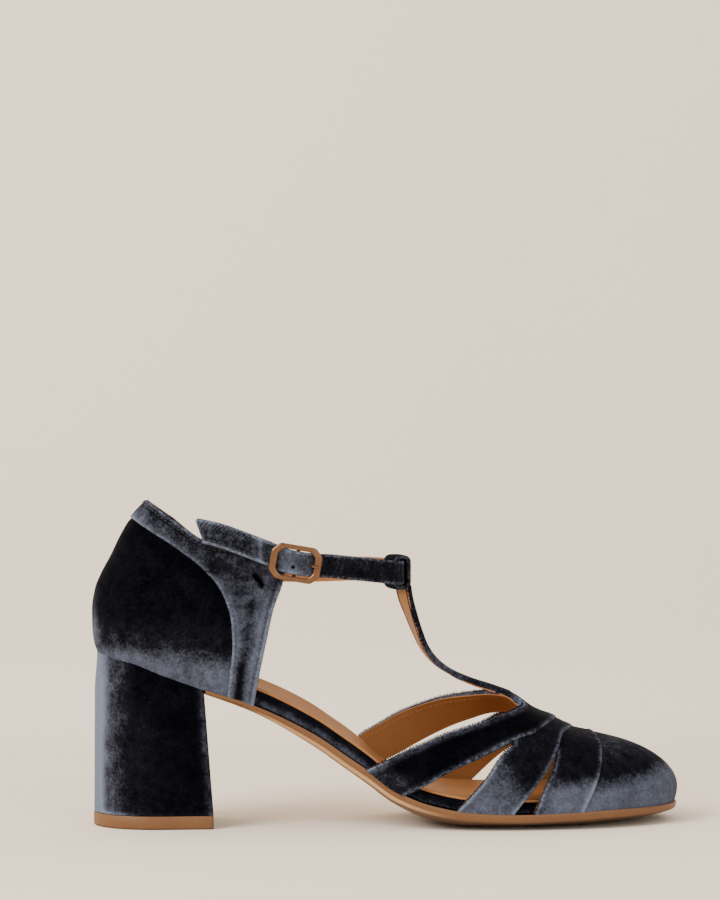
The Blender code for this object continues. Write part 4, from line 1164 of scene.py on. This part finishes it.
def build_band_1(lining):
    """First band with the T-strap growing out of its rear edge over the ridge."""
    close = STEM_TURN * (1 - EDGE_STEPS / T_STRAP[0].half_width)
    inside = np.linspace(-close[-1], close[-1], STEM_COLUMNS)[1:-1]
    outside = np.linspace(STEM_TURN, 90.0, FLANK_ROWS)[1:]
    turns = np.concatenate((-outside[::-1], -close, inside, close[::-1], outside))
    rear = edge_station("back_1", turns)
    base, share = band_base(turns, rear, edge_station("front_1", turns), BAND_1_COLUMNS)
    normals = band_normals(base)
    stem, stem_normals, run = stem_grid(turns, rear, base, normals)
    front_edge = base[:, -1]
    rear_edges = (
        np.concatenate((base[turns <= -STEM_TURN, 0], stem[1:, 0])),
        np.concatenate((base[turns >= STEM_TURN, 0][::-1], stem[1:, -1])),
    )
    band_nap = band_1_nap(flank(turns)[1][:, None], share)
    band = edged_patch(base, normals, WALL_BAND_1, band_nap, rear_edges, front_edge, 0.0)
    stem_wall = WALL_BAND_1 + (WALL_STEM - WALL_BAND_1) * ease(run / STEM_BLEND)
    stem_nap = 0.15 + 0.25 * bell(stem[..., 2], 63.0, 7.0)
    wrap = ease(run / STEM_WRAP)
    strap = edged_patch(stem, stem_normals, stem_wall, stem_nap, rear_edges, front_edge, wrap)
    add_piece("band_1_velvet", VELVET, "vamp", *wall([on_sole(band, (1, 1)), strap]))
    lining.append(lining_patch(proud_edge(base, np.abs(turns) > STEM_TURN), normals, 2, 3))
    lining.append(lining_patch(stem, stem_normals, 2, 3))
    flanks = (turns < -STEM_TURN, turns > STEM_TURN)
    plain = [side_edge(band, normals, -1)]
    plain += [side_edge(strap, stem_normals, column) for column in (0, -1)]
    seams = [Seam(base[rows, STITCH_COLUMN], -normals[rows, STITCH_COLUMN]) for rows in flanks]
    return [side_edge(band, normals, 0, rows) for rows in flanks], plain, seams


def build_toe(lining):
    """Closed toe, tucked under the third band."""
    side, angle = (part[:, None] for part in flank(TURNS))
    rear = edge_station("front_3", TURNS)[:, None] - TUCK
    share = np.sin(arc(0.0, 90.0, TOE_COLUMNS))[None]
    base = vamp_point(between(rear, LAST_TOE, share), angle, side)
    normals = band_normals(base)
    normals[:, -1] = unit(normals[:, -1] + normals[::-1, -1])
    rise = base[..., 2] - rim(base[..., 0], side)
    border = 9.0 + 5.5 * soft(200.0, 236.0, base[..., 0])
    nap_and_sheen = 0.13 + 0.58 * fade(border - 4.0, border + 4.0, rise) + 0.16 * soft(15.0, 23.0, rise)
    height = np.full(base.shape[:2], WALL_TOE)
    patch = velvet_patch(base, normals, height, nap_and_sheen, np.zeros_like(nap_and_sheen))
    add_piece("toe_velvet", VELVET, "vamp", *wall([on_sole(patch, (1, 1))]))
    lining.append(lining_patch(base, normals, 2, 2))


def rounded_box(half_x, half_y, radius, steps, flats=0):
    """Points round a box with rounded corners, each as a centre and a direction from it."""
    places = []
    for k, (right, up) in enumerate(((1, 1), (-1, 1), (-1, -1), (1, -1))):
        x, y = (half_x - radius) * right, (half_y - radius) * up
        places += [(x, y, math.cos(t), math.sin(t)) for t in arc(90.0 * k, 90.0 * k + 90.0, steps)]
        if k in (0, 2):
            places += [(along, y, 0.0, up) for along in np.linspace(x, -x, flats + 2)[1:-1]]
    return np.array(places).T


def build_loop():
    """Loop at the top of the T-strap: a soft band round the ankle strap."""
    half_x, half_z = ((value + LOOP_WALL) / 2 for value in LOOP_INSIDE)
    corner = LOOP_CORNER + LOOP_WALL / 2
    centre_x, centre_z, out_x, out_z = rounded_box(half_x, half_z, corner, LOOP_STEPS[0])[..., None]
    section = rounded_box(LOOP_HALF_WIDTH, LOOP_WALL / 2, LOOP_ROUND, *LOOP_STEPS[1:])
    across, depth = section[:2] + LOOP_ROUND * section[2:]
    puff = LOOP_PUFF * (depth > 0) * (1 - (across / LOOP_HALF_WIDTH) ** 2)
    x = centre_x + out_x * (corner + depth + puff)
    z = centre_z + out_z * (corner + depth + puff)
    cos, sin = math.cos(math.radians(LOOP_TWIST)), math.sin(math.radians(LOOP_TWIST))
    rings = np.stack((x * cos - across * sin, x * sin + across * cos, z), -1) + LOOP_CENTRE
    points, faces, first = closed_grid(rings)
    fold = 0.6 * (np.abs(np.append(across, across[0])) > LOOP_HALF_WIDTH - 1.2)
    values = {"nap_and_sheen": np.full(len(first), LOOP_NAP), "fold": np.tile(fold, len(rings) + 1)[first]}
    add_piece("loop_velvet", VELVET, "vamp", points, faces, values)


def build_vamp():
    """Bands, toe, T-strap, loop and lining; returns combed edges, plain edges and the lining's seams."""
    lining = []
    combed, plain, seams = build_band_1(lining)
    for rule in ((2, WALL_BAND_2, band_2_nap), (3, WALL_BAND_3, band_3_nap)):
        rear, front = build_band(*rule, lining)
        combed += rear
        plain += front
    build_toe(lining)
    build_loop()
    add_lining("vamp_lining", "vamp", lining)
    return combed, plain, seams


# Heel cup

# Soft troughs in the outer quarter, by station and height in the side view, each darkened with painted shade
CREASES = table(
    "width depth shade path",
    (0.7, 1.0, 0.7, ((64.0, 102.2), (65.8, 100.2), (67.0, 98.2))),
    (1.8, 0.35, 0.2, ((63.8, 93.0), (61.4, 84.0), (60.4, 74.0), (58.2, 63.0), (57.0, 52.0))),
    (1.7, 0.6, 0.45, ((58.9, 66.5), (58.0, 61.0), (57.0, 52.0))),
    (2.6, 0.3, 0.15, ((49.0, 107.0), (56.0, 103.8))),
)
SLIT_LIGHT = (65.2, 94.5)
QUARTER_SEAMS = (6, -8)


def crease_depth(points):
    """Depth of the troughs and their painted shade."""
    depth = np.zeros(points.shape[:-1])
    shade = np.zeros_like(depth)
    for crease in CREASES:
        path = np.array([(station, 0.0, height) for station, height in crease.path])
        trough = bell(distance_to(points * (1.0, 0.0, 1.0), path), 0.0, crease.width) * (points[..., 1] < 0)
        depth = np.maximum(depth, crease.depth * trough)
        shade = np.maximum(shade, crease.shade * trough)
    return depth, shade


def panel_place(line, row, side):
    """Reach and height on the seam or the free edge at table rows."""
    height = curve(PANEL, line + "_height", row)
    if line == "edge" and side > 0:
        height = height - curve(PANEL, "medial_drop", row)
    reach = np.where(row <= 0, 0.0, cup_reach(curve(PANEL, line + "_station", row), height))
    return np.stack((reach, height), -1)


def cup_foot(reach, side):
    """Reach and height of the cup's lower edge."""
    height = np.full_like(reach, SEAT_HEIGHT)
    for _ in range(FOOT_ROUNDS):
        height = rim(cup_point(reach, height, side)[..., 0], side) + GAP
    return np.stack((reach, height), -1)


def counter_places(side, columns, rows):
    """Reach and height over the counter between the rear line, the sole and the seam."""
    u = np.linspace(0.0, 1.0, columns)
    v = np.linspace(0.0, 1.0, rows)
    end = panel_place("seam", np.array(PANEL_END), side)[0]
    foot = cup_foot(end * u, side)
    top = panel_place("seam", PANEL_CORNER * u, side)
    front = panel_place("seam", PANEL_END - (PANEL_END - PANEL_CORNER) * v, side)
    front = front + (foot[-1] - front[0]) * np.maximum(0.0, 1 - v / FOOT_BLEND)[:, None]
    back = foot[0] + (top[0] - foot[0]) * v[:, None]
    u, v = u[None, :, None], v[:, None, None]
    grid = foot[None] * (1 - v) + top[None] * v + back[:, None] * (1 - u) + front[:, None] * u
    grid = grid - foot[0] * (1 - u) * (1 - v) - foot[-1] * u * (1 - v)
    return grid - top[0] * (1 - u) * v - top[-1] * u * v


def panel_places(side, seam, rows, inside):
    """Reach and height over the quarter panel, from the seam to its free edge."""
    edge = panel_place("edge", rows, side)
    edge[-1] = cup_foot(edge[-1:, 0], side)[0]
    places = between(seam[:, None], edge[:, None], FINE[None, :, None])
    share = spread(cup_point(places[..., 0], places[..., 1], side), inside)[..., None]
    places = between(seam[:, None], edge[:, None], share)
    places[-1, :, 1] = cup_foot(places[-1, :, 0], side)[:, 1]
    return places


def cup_grids(columns, rows, inside):
    """Points and directions of the counter and the panel over both sides, outer side first."""
    halves = []
    table_rows = np.concatenate((
        np.linspace(0.0, PANEL_CORNER, columns),
        np.linspace(PANEL_CORNER, PANEL_END, rows)[1:],
    ))
    for side in (-1, 1):
        counter = counter_places(side, columns, rows)
        seam = np.concatenate((counter[-1], counter[-2::-1, -1]))
        panel = panel_places(side, seam, table_rows, inside)
        grids = []
        for places in (counter, panel.transpose(1, 0, 2)):
            reach, height = places[..., 0], places[..., 1]
            grids.append((cup_point(reach, height, side), cup_normal(reach, height, side)))
        halves.append(grids)
    joined = []
    for lateral, medial in zip(*halves):
        joined.append([np.concatenate((a[:, ::-1], b[:, 1:]), axis=1) for a, b in zip(lateral, medial)])
    return joined, np.concatenate((table_rows[::-1], table_rows[1:]))


def counter_patch(base, normals, seam):
    """Velvet of the counter, brushed along the sole, with painted sheen down the back."""
    station = base[..., 0]
    rise = base[..., 2] - rim(station, np.where(base[..., 1] < 0, -1, 1))
    seam_distance = distance_to(base, seam)
    rearward = -normals[..., 0]
    low_light = 0.36 + 0.12 * soft(40.0, 50.0, station)
    low_light = low_light * fade(1.5 + 0.10 * station, 4.5 + 0.30 * station, rise)
    low_light += 0.20 * fade(5.0 + 0.12 * station, 16.0 + 0.40 * station, rise)
    # Painted sheen where the counter's back curves away and is seen at a grazing angle
    painted_rear_sheen = 0.48 * soft(0.75, 0.97, rearward) * fade(8.0, 20.0, rise)
    painted_rear_sheen += 0.25 * soft(0.9, 1.0, rearward) * fade(25.0, 45.0, rise)
    nap_and_sheen = 0.05 * soft(2.0, 10.0, seam_distance) + np.maximum(low_light, painted_rear_sheen)
    height = WALL_COUNTER - 0.35 * bell(seam_distance, 0.0, 1.0)
    return velvet_patch(base, normals, height, nap_and_sheen, 0.25 * fade(0.0, 1.0, seam_distance))


def panel_patch(base, normals, table_rows):
    """Velvet of the raised quarter panel, with its troughs and brushed parts, and painted shade in the
    troughs and the stitched groove.
    """
    free_distance = distance_to(base, base[-1])
    seam_distance = distance_to(base, base[0])
    height = round_over(edge_profile(free_distance, WALL_QUARTER), seam_distance, SEAM_RADIUS)
    trough, shade = crease_depth(base)
    height = np.maximum(height - 0.2 * bell(seam_distance, 1.7, 0.35) - trough, LINING + 0.3)
    station, level = base[..., 0], base[..., 2]
    wing = soft(2.4, 3.2, np.broadcast_to(table_rows[None], level.shape))
    # Painted shade darkens the stitched groove just inside the free edge
    nap_and_sheen = 0.31 + 0.20 * bell(seam_distance, 0.8, 1.6) - 0.18 * bell(free_distance, 2.2, 0.5)
    nap_and_sheen += 0.35 * fade(16.0, 26.0, station)
    nap_and_sheen += wing * (0.06 + 0.16 * fade(78.0, 98.0, level))
    nap_and_sheen += wing * 0.22 * fade(2.5, 6.0, free_distance) * fade(92.0, 101.0, level)
    nap_and_sheen += wing * 0.25 * bell(np.hypot(station - SLIT_LIGHT[0], level - SLIT_LIGHT[1]), 0.0, 2.6) - shade
    fold = np.maximum(0.9 * close_to(free_distance), 0.4 * close_to(seam_distance))
    inner = (LINING + VELVET_TURN) * soft(2.0, 2.6, free_distance) - VELVET_TURN
    return velvet_patch(base, normals, height, nap_and_sheen, fold, inner)


def build_quarter():
    """Heel cup: counter, raised quarter panel and lining; returns its edge with pile tips and its seams."""
    (counter, panel), table_rows = cup_grids(*CUP_GRID)
    base, normals = panel
    back = counter_patch(*counter, base[0])
    front = panel_patch(base, normals, table_rows)
    patches = [on_sole(back, rows=(1, 0)), on_sole(front, columns=(1, 1))]
    add_piece("quarter_velvet", VELVET, "quarter", *wall(patches))
    add_lining("quarter_lining", "quarter", [lining_patch(*grid, 3, 2) for grid in (counter, panel)])
    seams = [Seam(front.outer[row], normals[row]) for row in QUARTER_SEAMS]
    return [(front.outer[-1], np.gradient(base, axis=0)[-1], normals[-1])], seams


# Ankle strap

def strap_grid():
    """Inner face of the strap, its directions out and up, its run and the place across it."""
    rows = np.array(STRAP)[:, None]
    spacing = np.where(rows[1:, 0, 1] < STRAP_FINE, *STRAP_STEP)
    line = smooth_rows(rows, np.round(step_lengths(rows[:, 0]) / spacing).astype(int))[:, 0]
    along = unit(np.gradient(line, axis=0))
    outward = unit(np.cross(along, (0.0, 0.0, 1.0)))
    up = unit(np.cross(outward, along))
    run = run_along(line)
    half = round_over(STRAP_WIDTH / 2, np.minimum(run, run[-1] - run), STRAP_END_ROUND)
    edge = STRAP_WIDTH / 2 - EDGE_STEPS
    middle = np.linspace(-edge[-1], edge[-1], STRAP_COLUMNS)[1:-1]
    shares = np.concatenate((-edge, middle, edge[::-1])) / (STRAP_WIDTH / 2)
    slant = TAIL_SLANT * np.maximum(0.0, 1 - run / TAIL_SLANT_RUN)
    across = half[:, None] * shares[None]
    base = line[:, None] + up[:, None] * across[..., None] - outward[:, None] * STRAP_THICKNESS / 2
    base = base - along[:, None] * (slant[:, None] * shares[None] / 2)[..., None]
    return base, outward, up, run, across


def build_strap():
    """Flat velvet strap with a leather inner face, its tail end and a spare hole; returns edges and seam."""
    base, outward, up, run, across = strap_grid()
    normals = np.broadcast_to(outward[:, None], base.shape)
    border = np.concatenate((base[0], base[1:, -1], base[-1, ::-1], base[::-1, 0]))
    distance = distance_to(base, border)
    station, level = base[..., 0], base[..., 2]
    outer_side = base[..., 1] < 0
    hole = np.hypot(station - SPARE_HOLE[0], level - SPARE_HOLE[1]) / SPARE_HOLE_RADIUS
    in_hole = outer_side * fade(0.7, 1.3, hole)
    tail = outer_side * fade(69.0, 73.0, station)
    ribs = 0.5 + 0.5 * np.sin(2 * np.pi * (run[:, None] - 0.7 * across) / RIB_PITCH)
    ribs = ribs * soft(1.0, 2.2, across) * tail
    wave = np.sin(run * 1.9)[:, None] * 0.06 + np.sin(run * 0.7 + 1.0)[:, None] * 0.08
    height = edge_profile(distance, STRAP_THICKNESS - ROLL[0] / 2, STRAP_EDGE_RADIUS)
    height = height + wave * soft(0.5, 2.0, distance) + 0.1 * ribs - 0.9 * in_hole
    window = outer_side * soft(72.0, 74.5, station) * fade(86.0, 88.0, station)
    tail_nap = 0.13 + 0.24 * soft(3.0, 3.7, -across) + 0.28 * bell(station, 66.0, 1.0)
    nap_and_sheen = 0.22 + tail * tail_nap + 0.22 * ribs
    nap_and_sheen += window * (0.40 - 0.16 * soft(76.0, 84.0, station)) - 0.5 * in_hole
    # The bell at the strap's front turn round the loop is painted sheen, seen at a grazing angle
    nap_and_sheen += 0.04 * outer_side * soft(112.0, 122.0, station) + 0.3 * bell(station, 125.4, 0.9)
    patch = velvet_patch(base, normals, height, nap_and_sheen, close_to(distance))
    add_piece("strap_velvet", VELVET, "ankle_strap", *wall([patch]))
    add_lining("strap_lining", "ankle_strap", [lining_patch(base, normals, 3, 2)])
    sewn = run < TAIL_SEAM
    edges = [(patch.outer[:, 0], -up, outward), (patch.outer[:, -1], up, outward)]
    return edges, [Seam(patch.outer[sewn, STITCH_COLUMN], outward[sewn])]


# Pile tips and stitches along the edges

Tips = namedtuple("Tips", "per_mm length width taper lean lift root")
TUFTS = Tips(1.0, (0.75, 1.0), 0.4, 0.85, 0.05, (0.45, 0.65), (0.0, 0.25))
HAIRS = Tips(5.0, (0.3, 0.7), 0.05, 0.3, 0.3, (0.0, 0.9), (-0.4, 0.1))
TIP_CORNERS = np.radians((0.0, 120.0, 240.0))
TIP_FACES = ((0, 1, 4, 3), (1, 2, 5, 4), (2, 0, 3, 5), (2, 1, 0), (3, 4, 5))
TIP_STRAY = 0.15
TIP_SINK = 0.15
TIP_NAP = 0.4
TIP_NAP_FALL = 0.28
TIP_NAP_STRAY = 0.18
STITCH_PITCH = 2.1
STITCH_LENGTH = 1.3
STITCH_RADIUS = 0.2
STITCH_RINGS = ((-1.0, 0.35), (-0.7, 0.9), (0.0, 1.0), (0.7, 0.9), (1.0, 0.35))
STITCH_SIDES = 6
STITCH_AIM = 0.2
SEED = 7


def sample_line(data, run, places):
    """Values of points along a line at other lengths."""
    return np.stack([np.interp(places, run, data[:, k]) for k in range(3)], -1)


def tip_points(edge, tips, rng):
    """Corner points and nap of tapered tips that stand out of one edge, darker on upper edges."""
    line, out, normal = edge
    run = run_along(line)
    count = int(run[-1] * tips.per_mm)
    places = (np.arange(count) + rng.uniform(-TIP_STRAY, TIP_STRAY, count)) / tips.per_mm
    square = unit(np.cross(normal, np.gradient(line, axis=0)))
    square = square * np.sign((square * out).sum(1, keepdims=True))
    root, out_at, normal_at = (sample_line(data, run, places) for data in (line, square, normal))
    along = unit(np.cross(out_at, normal_at))
    lift = rng.uniform(*tips.lift, (count, 1))
    lean = rng.normal(0.0, tips.lean, (count, 1))
    direction = unit(out_at + normal_at * lift + along * lean)
    root = root + normal_at * rng.uniform(*tips.root, (count, 1)) - direction * TIP_SINK
    length = rng.uniform(*tips.length, (count, 1))
    across = unit(np.cross(direction, normal_at + 0.01))
    third = np.cross(direction, across)
    corners = []
    for centre, width in ((root, tips.width), (root + direction * length, tips.width * tips.taper)):
        corners += [centre + width * (across * math.cos(t) + third * math.sin(t)) for t in TIP_CORNERS]
    nap_and_sheen = TIP_NAP - TIP_NAP_FALL * out_at[:, 2] + rng.uniform(-TIP_NAP_STRAY, TIP_NAP_STRAY, count)
    return np.stack(corners, 1).reshape(-1, 3), np.repeat(nap_and_sheen, len(corners))


def build_tips(combed, plain):
    """Tufts along combed edges and fine hairs along all edges, in one piece."""
    rng = np.random.default_rng(SEED)
    parts = [tip_points(edge, TUFTS, rng) for edge in combed]
    parts += [tip_points(edge, HAIRS, rng) for edge in combed + plain]
    points, nap_and_sheen = (np.concatenate(part) for part in zip(*parts))
    first = np.arange(0, len(points), 2 * len(TIP_CORNERS))[:, None]
    faces = []
    for face in TIP_FACES:
        faces += (first + np.array(face)[None]).tolist()
    add_piece("pile_tips", VELVET, None, points, faces, {"nap_and_sheen": nap_and_sheen, "fold": np.zeros_like(nap_and_sheen)})


def build_stitches(name, seams, finish):
    """Short rounded stitches along seams, all in one piece."""
    turns = 2 * np.pi * np.arange(STITCH_SIDES)[:, None] / STITCH_SIDES
    stitches = []
    for seam in seams:
        run = run_along(seam.line)
        for start in np.arange(STITCH_PITCH, run[-1] - STITCH_PITCH, STITCH_PITCH):
            rings = []
            for share, width in STITCH_RINGS:
                at = start + share * STITCH_LENGTH / 2
                centre, normal = (sample_line(data, run, at) for data in seam)
                before, after = (sample_line(seam.line, run, at + aim) for aim in (-STITCH_AIM, STITCH_AIM))
                side = unit(np.cross(unit(after - before), normal))
                rings.append(centre + STITCH_RADIUS * width * (np.cos(turns) * side + np.sin(turns) * normal))
            stitches.append(stack_rings(rings))
    add_piece(name, finish, None, *join_bodies(stitches))


# Buckle, in its own axes: along the strap, up across it and outwards

BUCKLE_CENTRE = (79.7, -32.9, 107.4)
BUCKLE_SIZE = (20.8, 14.6)
BUCKLE_BARS = (2.9, 2.0)
BUCKLE_CHAMFER = 3.2
CHAMFER_SHRINK = 0.586
BUCKLE_THICKNESS = 1.7
BUCKLE_TILT = 10.0
BUCKLE_CORNER = 1.0
CORNER_STEPS = 7
SECTION_STEPS = 20
SECTION_POWER = 0.8
BAR_RADIUS = 0.8
BAR_ALONG = 0.7
BAR_DEPTH = 4.4
BAR_SIDES = 12
POST_HEIGHT = 6.2
POST_CORNER = 1.3


def buckle_place(along, up, out):
    """Points given in the buckle's axes, placed on the shoe."""
    tilt = math.radians(BUCKLE_TILT)
    x = along * math.cos(tilt) + up * math.sin(tilt)
    z = up * math.cos(tilt) - along * math.sin(tilt)
    return np.stack((x, -out, z), -1) + BUCKLE_CENTRE


def octagon(share):
    """Outline of the buckle with rounded corners at a share of its bars, 0 outside and 1 inside."""
    x, z = (size / 2 - share * bar for size, bar in zip(BUCKLE_SIZE, BUCKLE_BARS))
    cut = BUCKLE_CHAMFER - share * BUCKLE_BARS[1] * CHAMFER_SHRINK
    corners = np.array(((x, z - cut), (x - cut, z), (cut - x, z), (-x, z - cut)))
    corners = np.concatenate((corners, -corners))
    before = unit(np.roll(corners, 1, axis=0) - corners) * BUCKLE_CORNER
    after = unit(np.roll(corners, -1, axis=0) - corners) * BUCKLE_CORNER
    t = np.linspace(0.0, 1.0, CORNER_STEPS)[None, :, None]
    ring = corners[:, None] + before[:, None] * (1 - t) ** 2 + after[:, None] * t ** 2
    return ring.reshape(-1, 2)


def build_buckle():
    """Copper frame with a rounded section and its cranked centre bar; finish of the prong and the tab."""
    rings = []
    for turn in np.linspace(0.0, 2 * np.pi, SECTION_STEPS, endpoint=False):
        along, up = octagon((1 - math.cos(turn)) / 2).T
        rise = math.copysign(abs(math.sin(turn)) ** SECTION_POWER, math.sin(turn))
        rings.append(buckle_place(along, up, np.full_like(up, rise * BUCKLE_THICKNESS / 2)))
    bodies = [closed_grid(np.array(rings))]
    path = [(POST_HEIGHT, 0.0), (POST_HEIGHT, POST_CORNER - BAR_DEPTH)]
    path.append((POST_HEIGHT - POST_CORNER, -BAR_DEPTH))
    path = np.array(path + [(-up, out) for up, out in reversed(path)])
    turns = np.linspace(0.0, 2 * np.pi, BAR_SIDES, endpoint=False)
    along = BAR_ALONG + BAR_RADIUS * np.cos(turns)
    swing = BAR_RADIUS * np.sin(turns)
    rings = []
    for (up, out), (rise, ahead) in zip(path, unit(np.gradient(path, axis=0))):
        rings.append(buckle_place(along, up + ahead * swing, out - rise * swing))
    bodies.append(stack_rings(rings))
    add_piece("buckle_copper", COPPER, "buckle_frame", *join_bodies(bodies))
    for name, finish in (("buckle_prong", COPPER), ("buckle_tab", INSIDE)):
        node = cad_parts[name]
        node.data.materials.clear()
        node.data.materials.append(finish.material)


# Stage, in metres

WALL_PLACE = 0.33
WALL_HEIGHT = 3.0
SWEEP = 0.05
STAGE_HALF = 3.0
FLOOR_FRONT = -4.0
FLOOR_BEHIND = 4.0
STAGE_TONES = ((0.88, 0.78, 0.655), (0.90, 0.80, 0.675))
DAYLIGHT = (1.0, 0.97, 0.93)
SKYLIGHT = (0.93, 0.96, 1.0)
SURROUND = 0.96
LIGHT_AIM = (0.0, 0.0, 0.05)
CAMERA_PLACE = (-0.18508, -1.9920, 0.23849)
CAMERA_TURN = (87.496, 0.0, -5.0)
CAMERA_LENS = 197.53
SENSOR_WIDTH = 36.0
CLIP_END = 20.0


def stage_material():
    """Pale plaster that is seen through from its back."""
    material, tree, shader = new_material("pale_plaster")
    cloud = ranged(tree, noise(tree, 5.0, 6.0, 0.6), 0.3, 0.7)
    tone = mix(tree, cloud, *STAGE_TONES)
    fill(tree, shader, {"Base Color": tone, "Roughness": 0.9, "Specular IOR Level": 0.1})
    behind = new_node(tree, "NewGeometry", "Backfacing")
    clear = new_node(tree, "BsdfTransparent", "BSDF")
    surface = new_node(tree, "MixShader", "Shader", {"Fac": behind, 1: shader.outputs["BSDF"], 2: clear})
    fill(tree, tree.nodes["Material Output"], {"Surface": surface})
    return material


def build_stage():
    """Plain pale floor that sweeps up into a backdrop, with more floor behind it."""
    low = WALL_PLACE - SWEEP
    profile = [(FLOOR_FRONT, 0.0), (low, 0.0)]
    profile += [(low + SWEEP * math.sin(t), SWEEP - SWEEP * math.cos(t)) for t in arc(10.0, 90.0, 9)]
    profile.append((WALL_PLACE, WALL_HEIGHT))
    points = [(x, y, z) for x in (-STAGE_HALF, STAGE_HALF) for y, z in profile]
    count = len(profile)
    faces = [(k, count + k, count + k + 1, k + 1) for k in range(count - 1)]
    faces.append(tuple(range(2 * count, 2 * count + 4)))
    points += [(-STAGE_HALF, low, 0.0), (STAGE_HALF, low, 0.0)]
    points += [(STAGE_HALF, FLOOR_BEHIND, 0.0), (-STAGE_HALF, FLOOR_BEHIND, 0.0)]
    mesh = bpy.data.meshes.new("backdrop")
    mesh.from_pydata(points, [], faces)
    mesh.shade_smooth()
    mesh.materials.append(stage_material())
    add_object("backdrop", mesh)


def area_light(name, place, size, power, colour):
    """Soft rectangular lamp aimed at the shoe."""
    data = bpy.data.lights.new(name, "AREA")
    data.shape = "RECTANGLE"
    data.size, data.size_y = size
    data.energy = power
    data.color = colour
    lamp = add_object(name, data)
    lamp.location = place
    lamp.rotation_euler = (Vector(LIGHT_AIM) - Vector(place)).to_track_quat("-Z", "Y").to_euler()


def build_light():
    """Soft daylight from the upper left and a pale surround."""
    world = bpy.data.worlds.new("studio")
    bpy.context.scene.world = world
    world.use_nodes = True
    background = world.node_tree.nodes["Background"]
    fill(world.node_tree, background, {"Color": DAYLIGHT, "Strength": SURROUND})
    area_light("key", (-1.3, -1.0, 1.25), (1.1, 1.1), 47.0, DAYLIGHT)
    area_light("fill", (0.9, -1.5, 0.7), (1.2, 1.0), 9.0, SKYLIGHT)


def build_camera():
    """Camera at the photograph's angle."""
    data = bpy.data.cameras.new("photo_camera")
    data.lens = CAMERA_LENS
    data.sensor_width = SENSOR_WIDTH
    data.clip_end = CLIP_END
    camera = add_object("photo_camera", data)
    camera.location = CAMERA_PLACE
    camera.rotation_euler = tuple(math.radians(turn) for turn in CAMERA_TURN)
    bpy.context.scene.camera = camera


build_outsole()
build_footbed()
build_heel()
combed_edges, plain_edges, lining_seams = build_vamp()
quarter_edges, quarter_seams = build_quarter()
strap_edges, strap_seams = build_strap()
build_tips(combed_edges, plain_edges + strap_edges + quarter_edges)
build_stitches("velvet_stitches", quarter_seams + strap_seams, DARK_THREAD)
build_stitches("lining_stitches", lining_seams, TAN_THREAD)
build_buckle()
build_stage()
build_light()
build_camera()
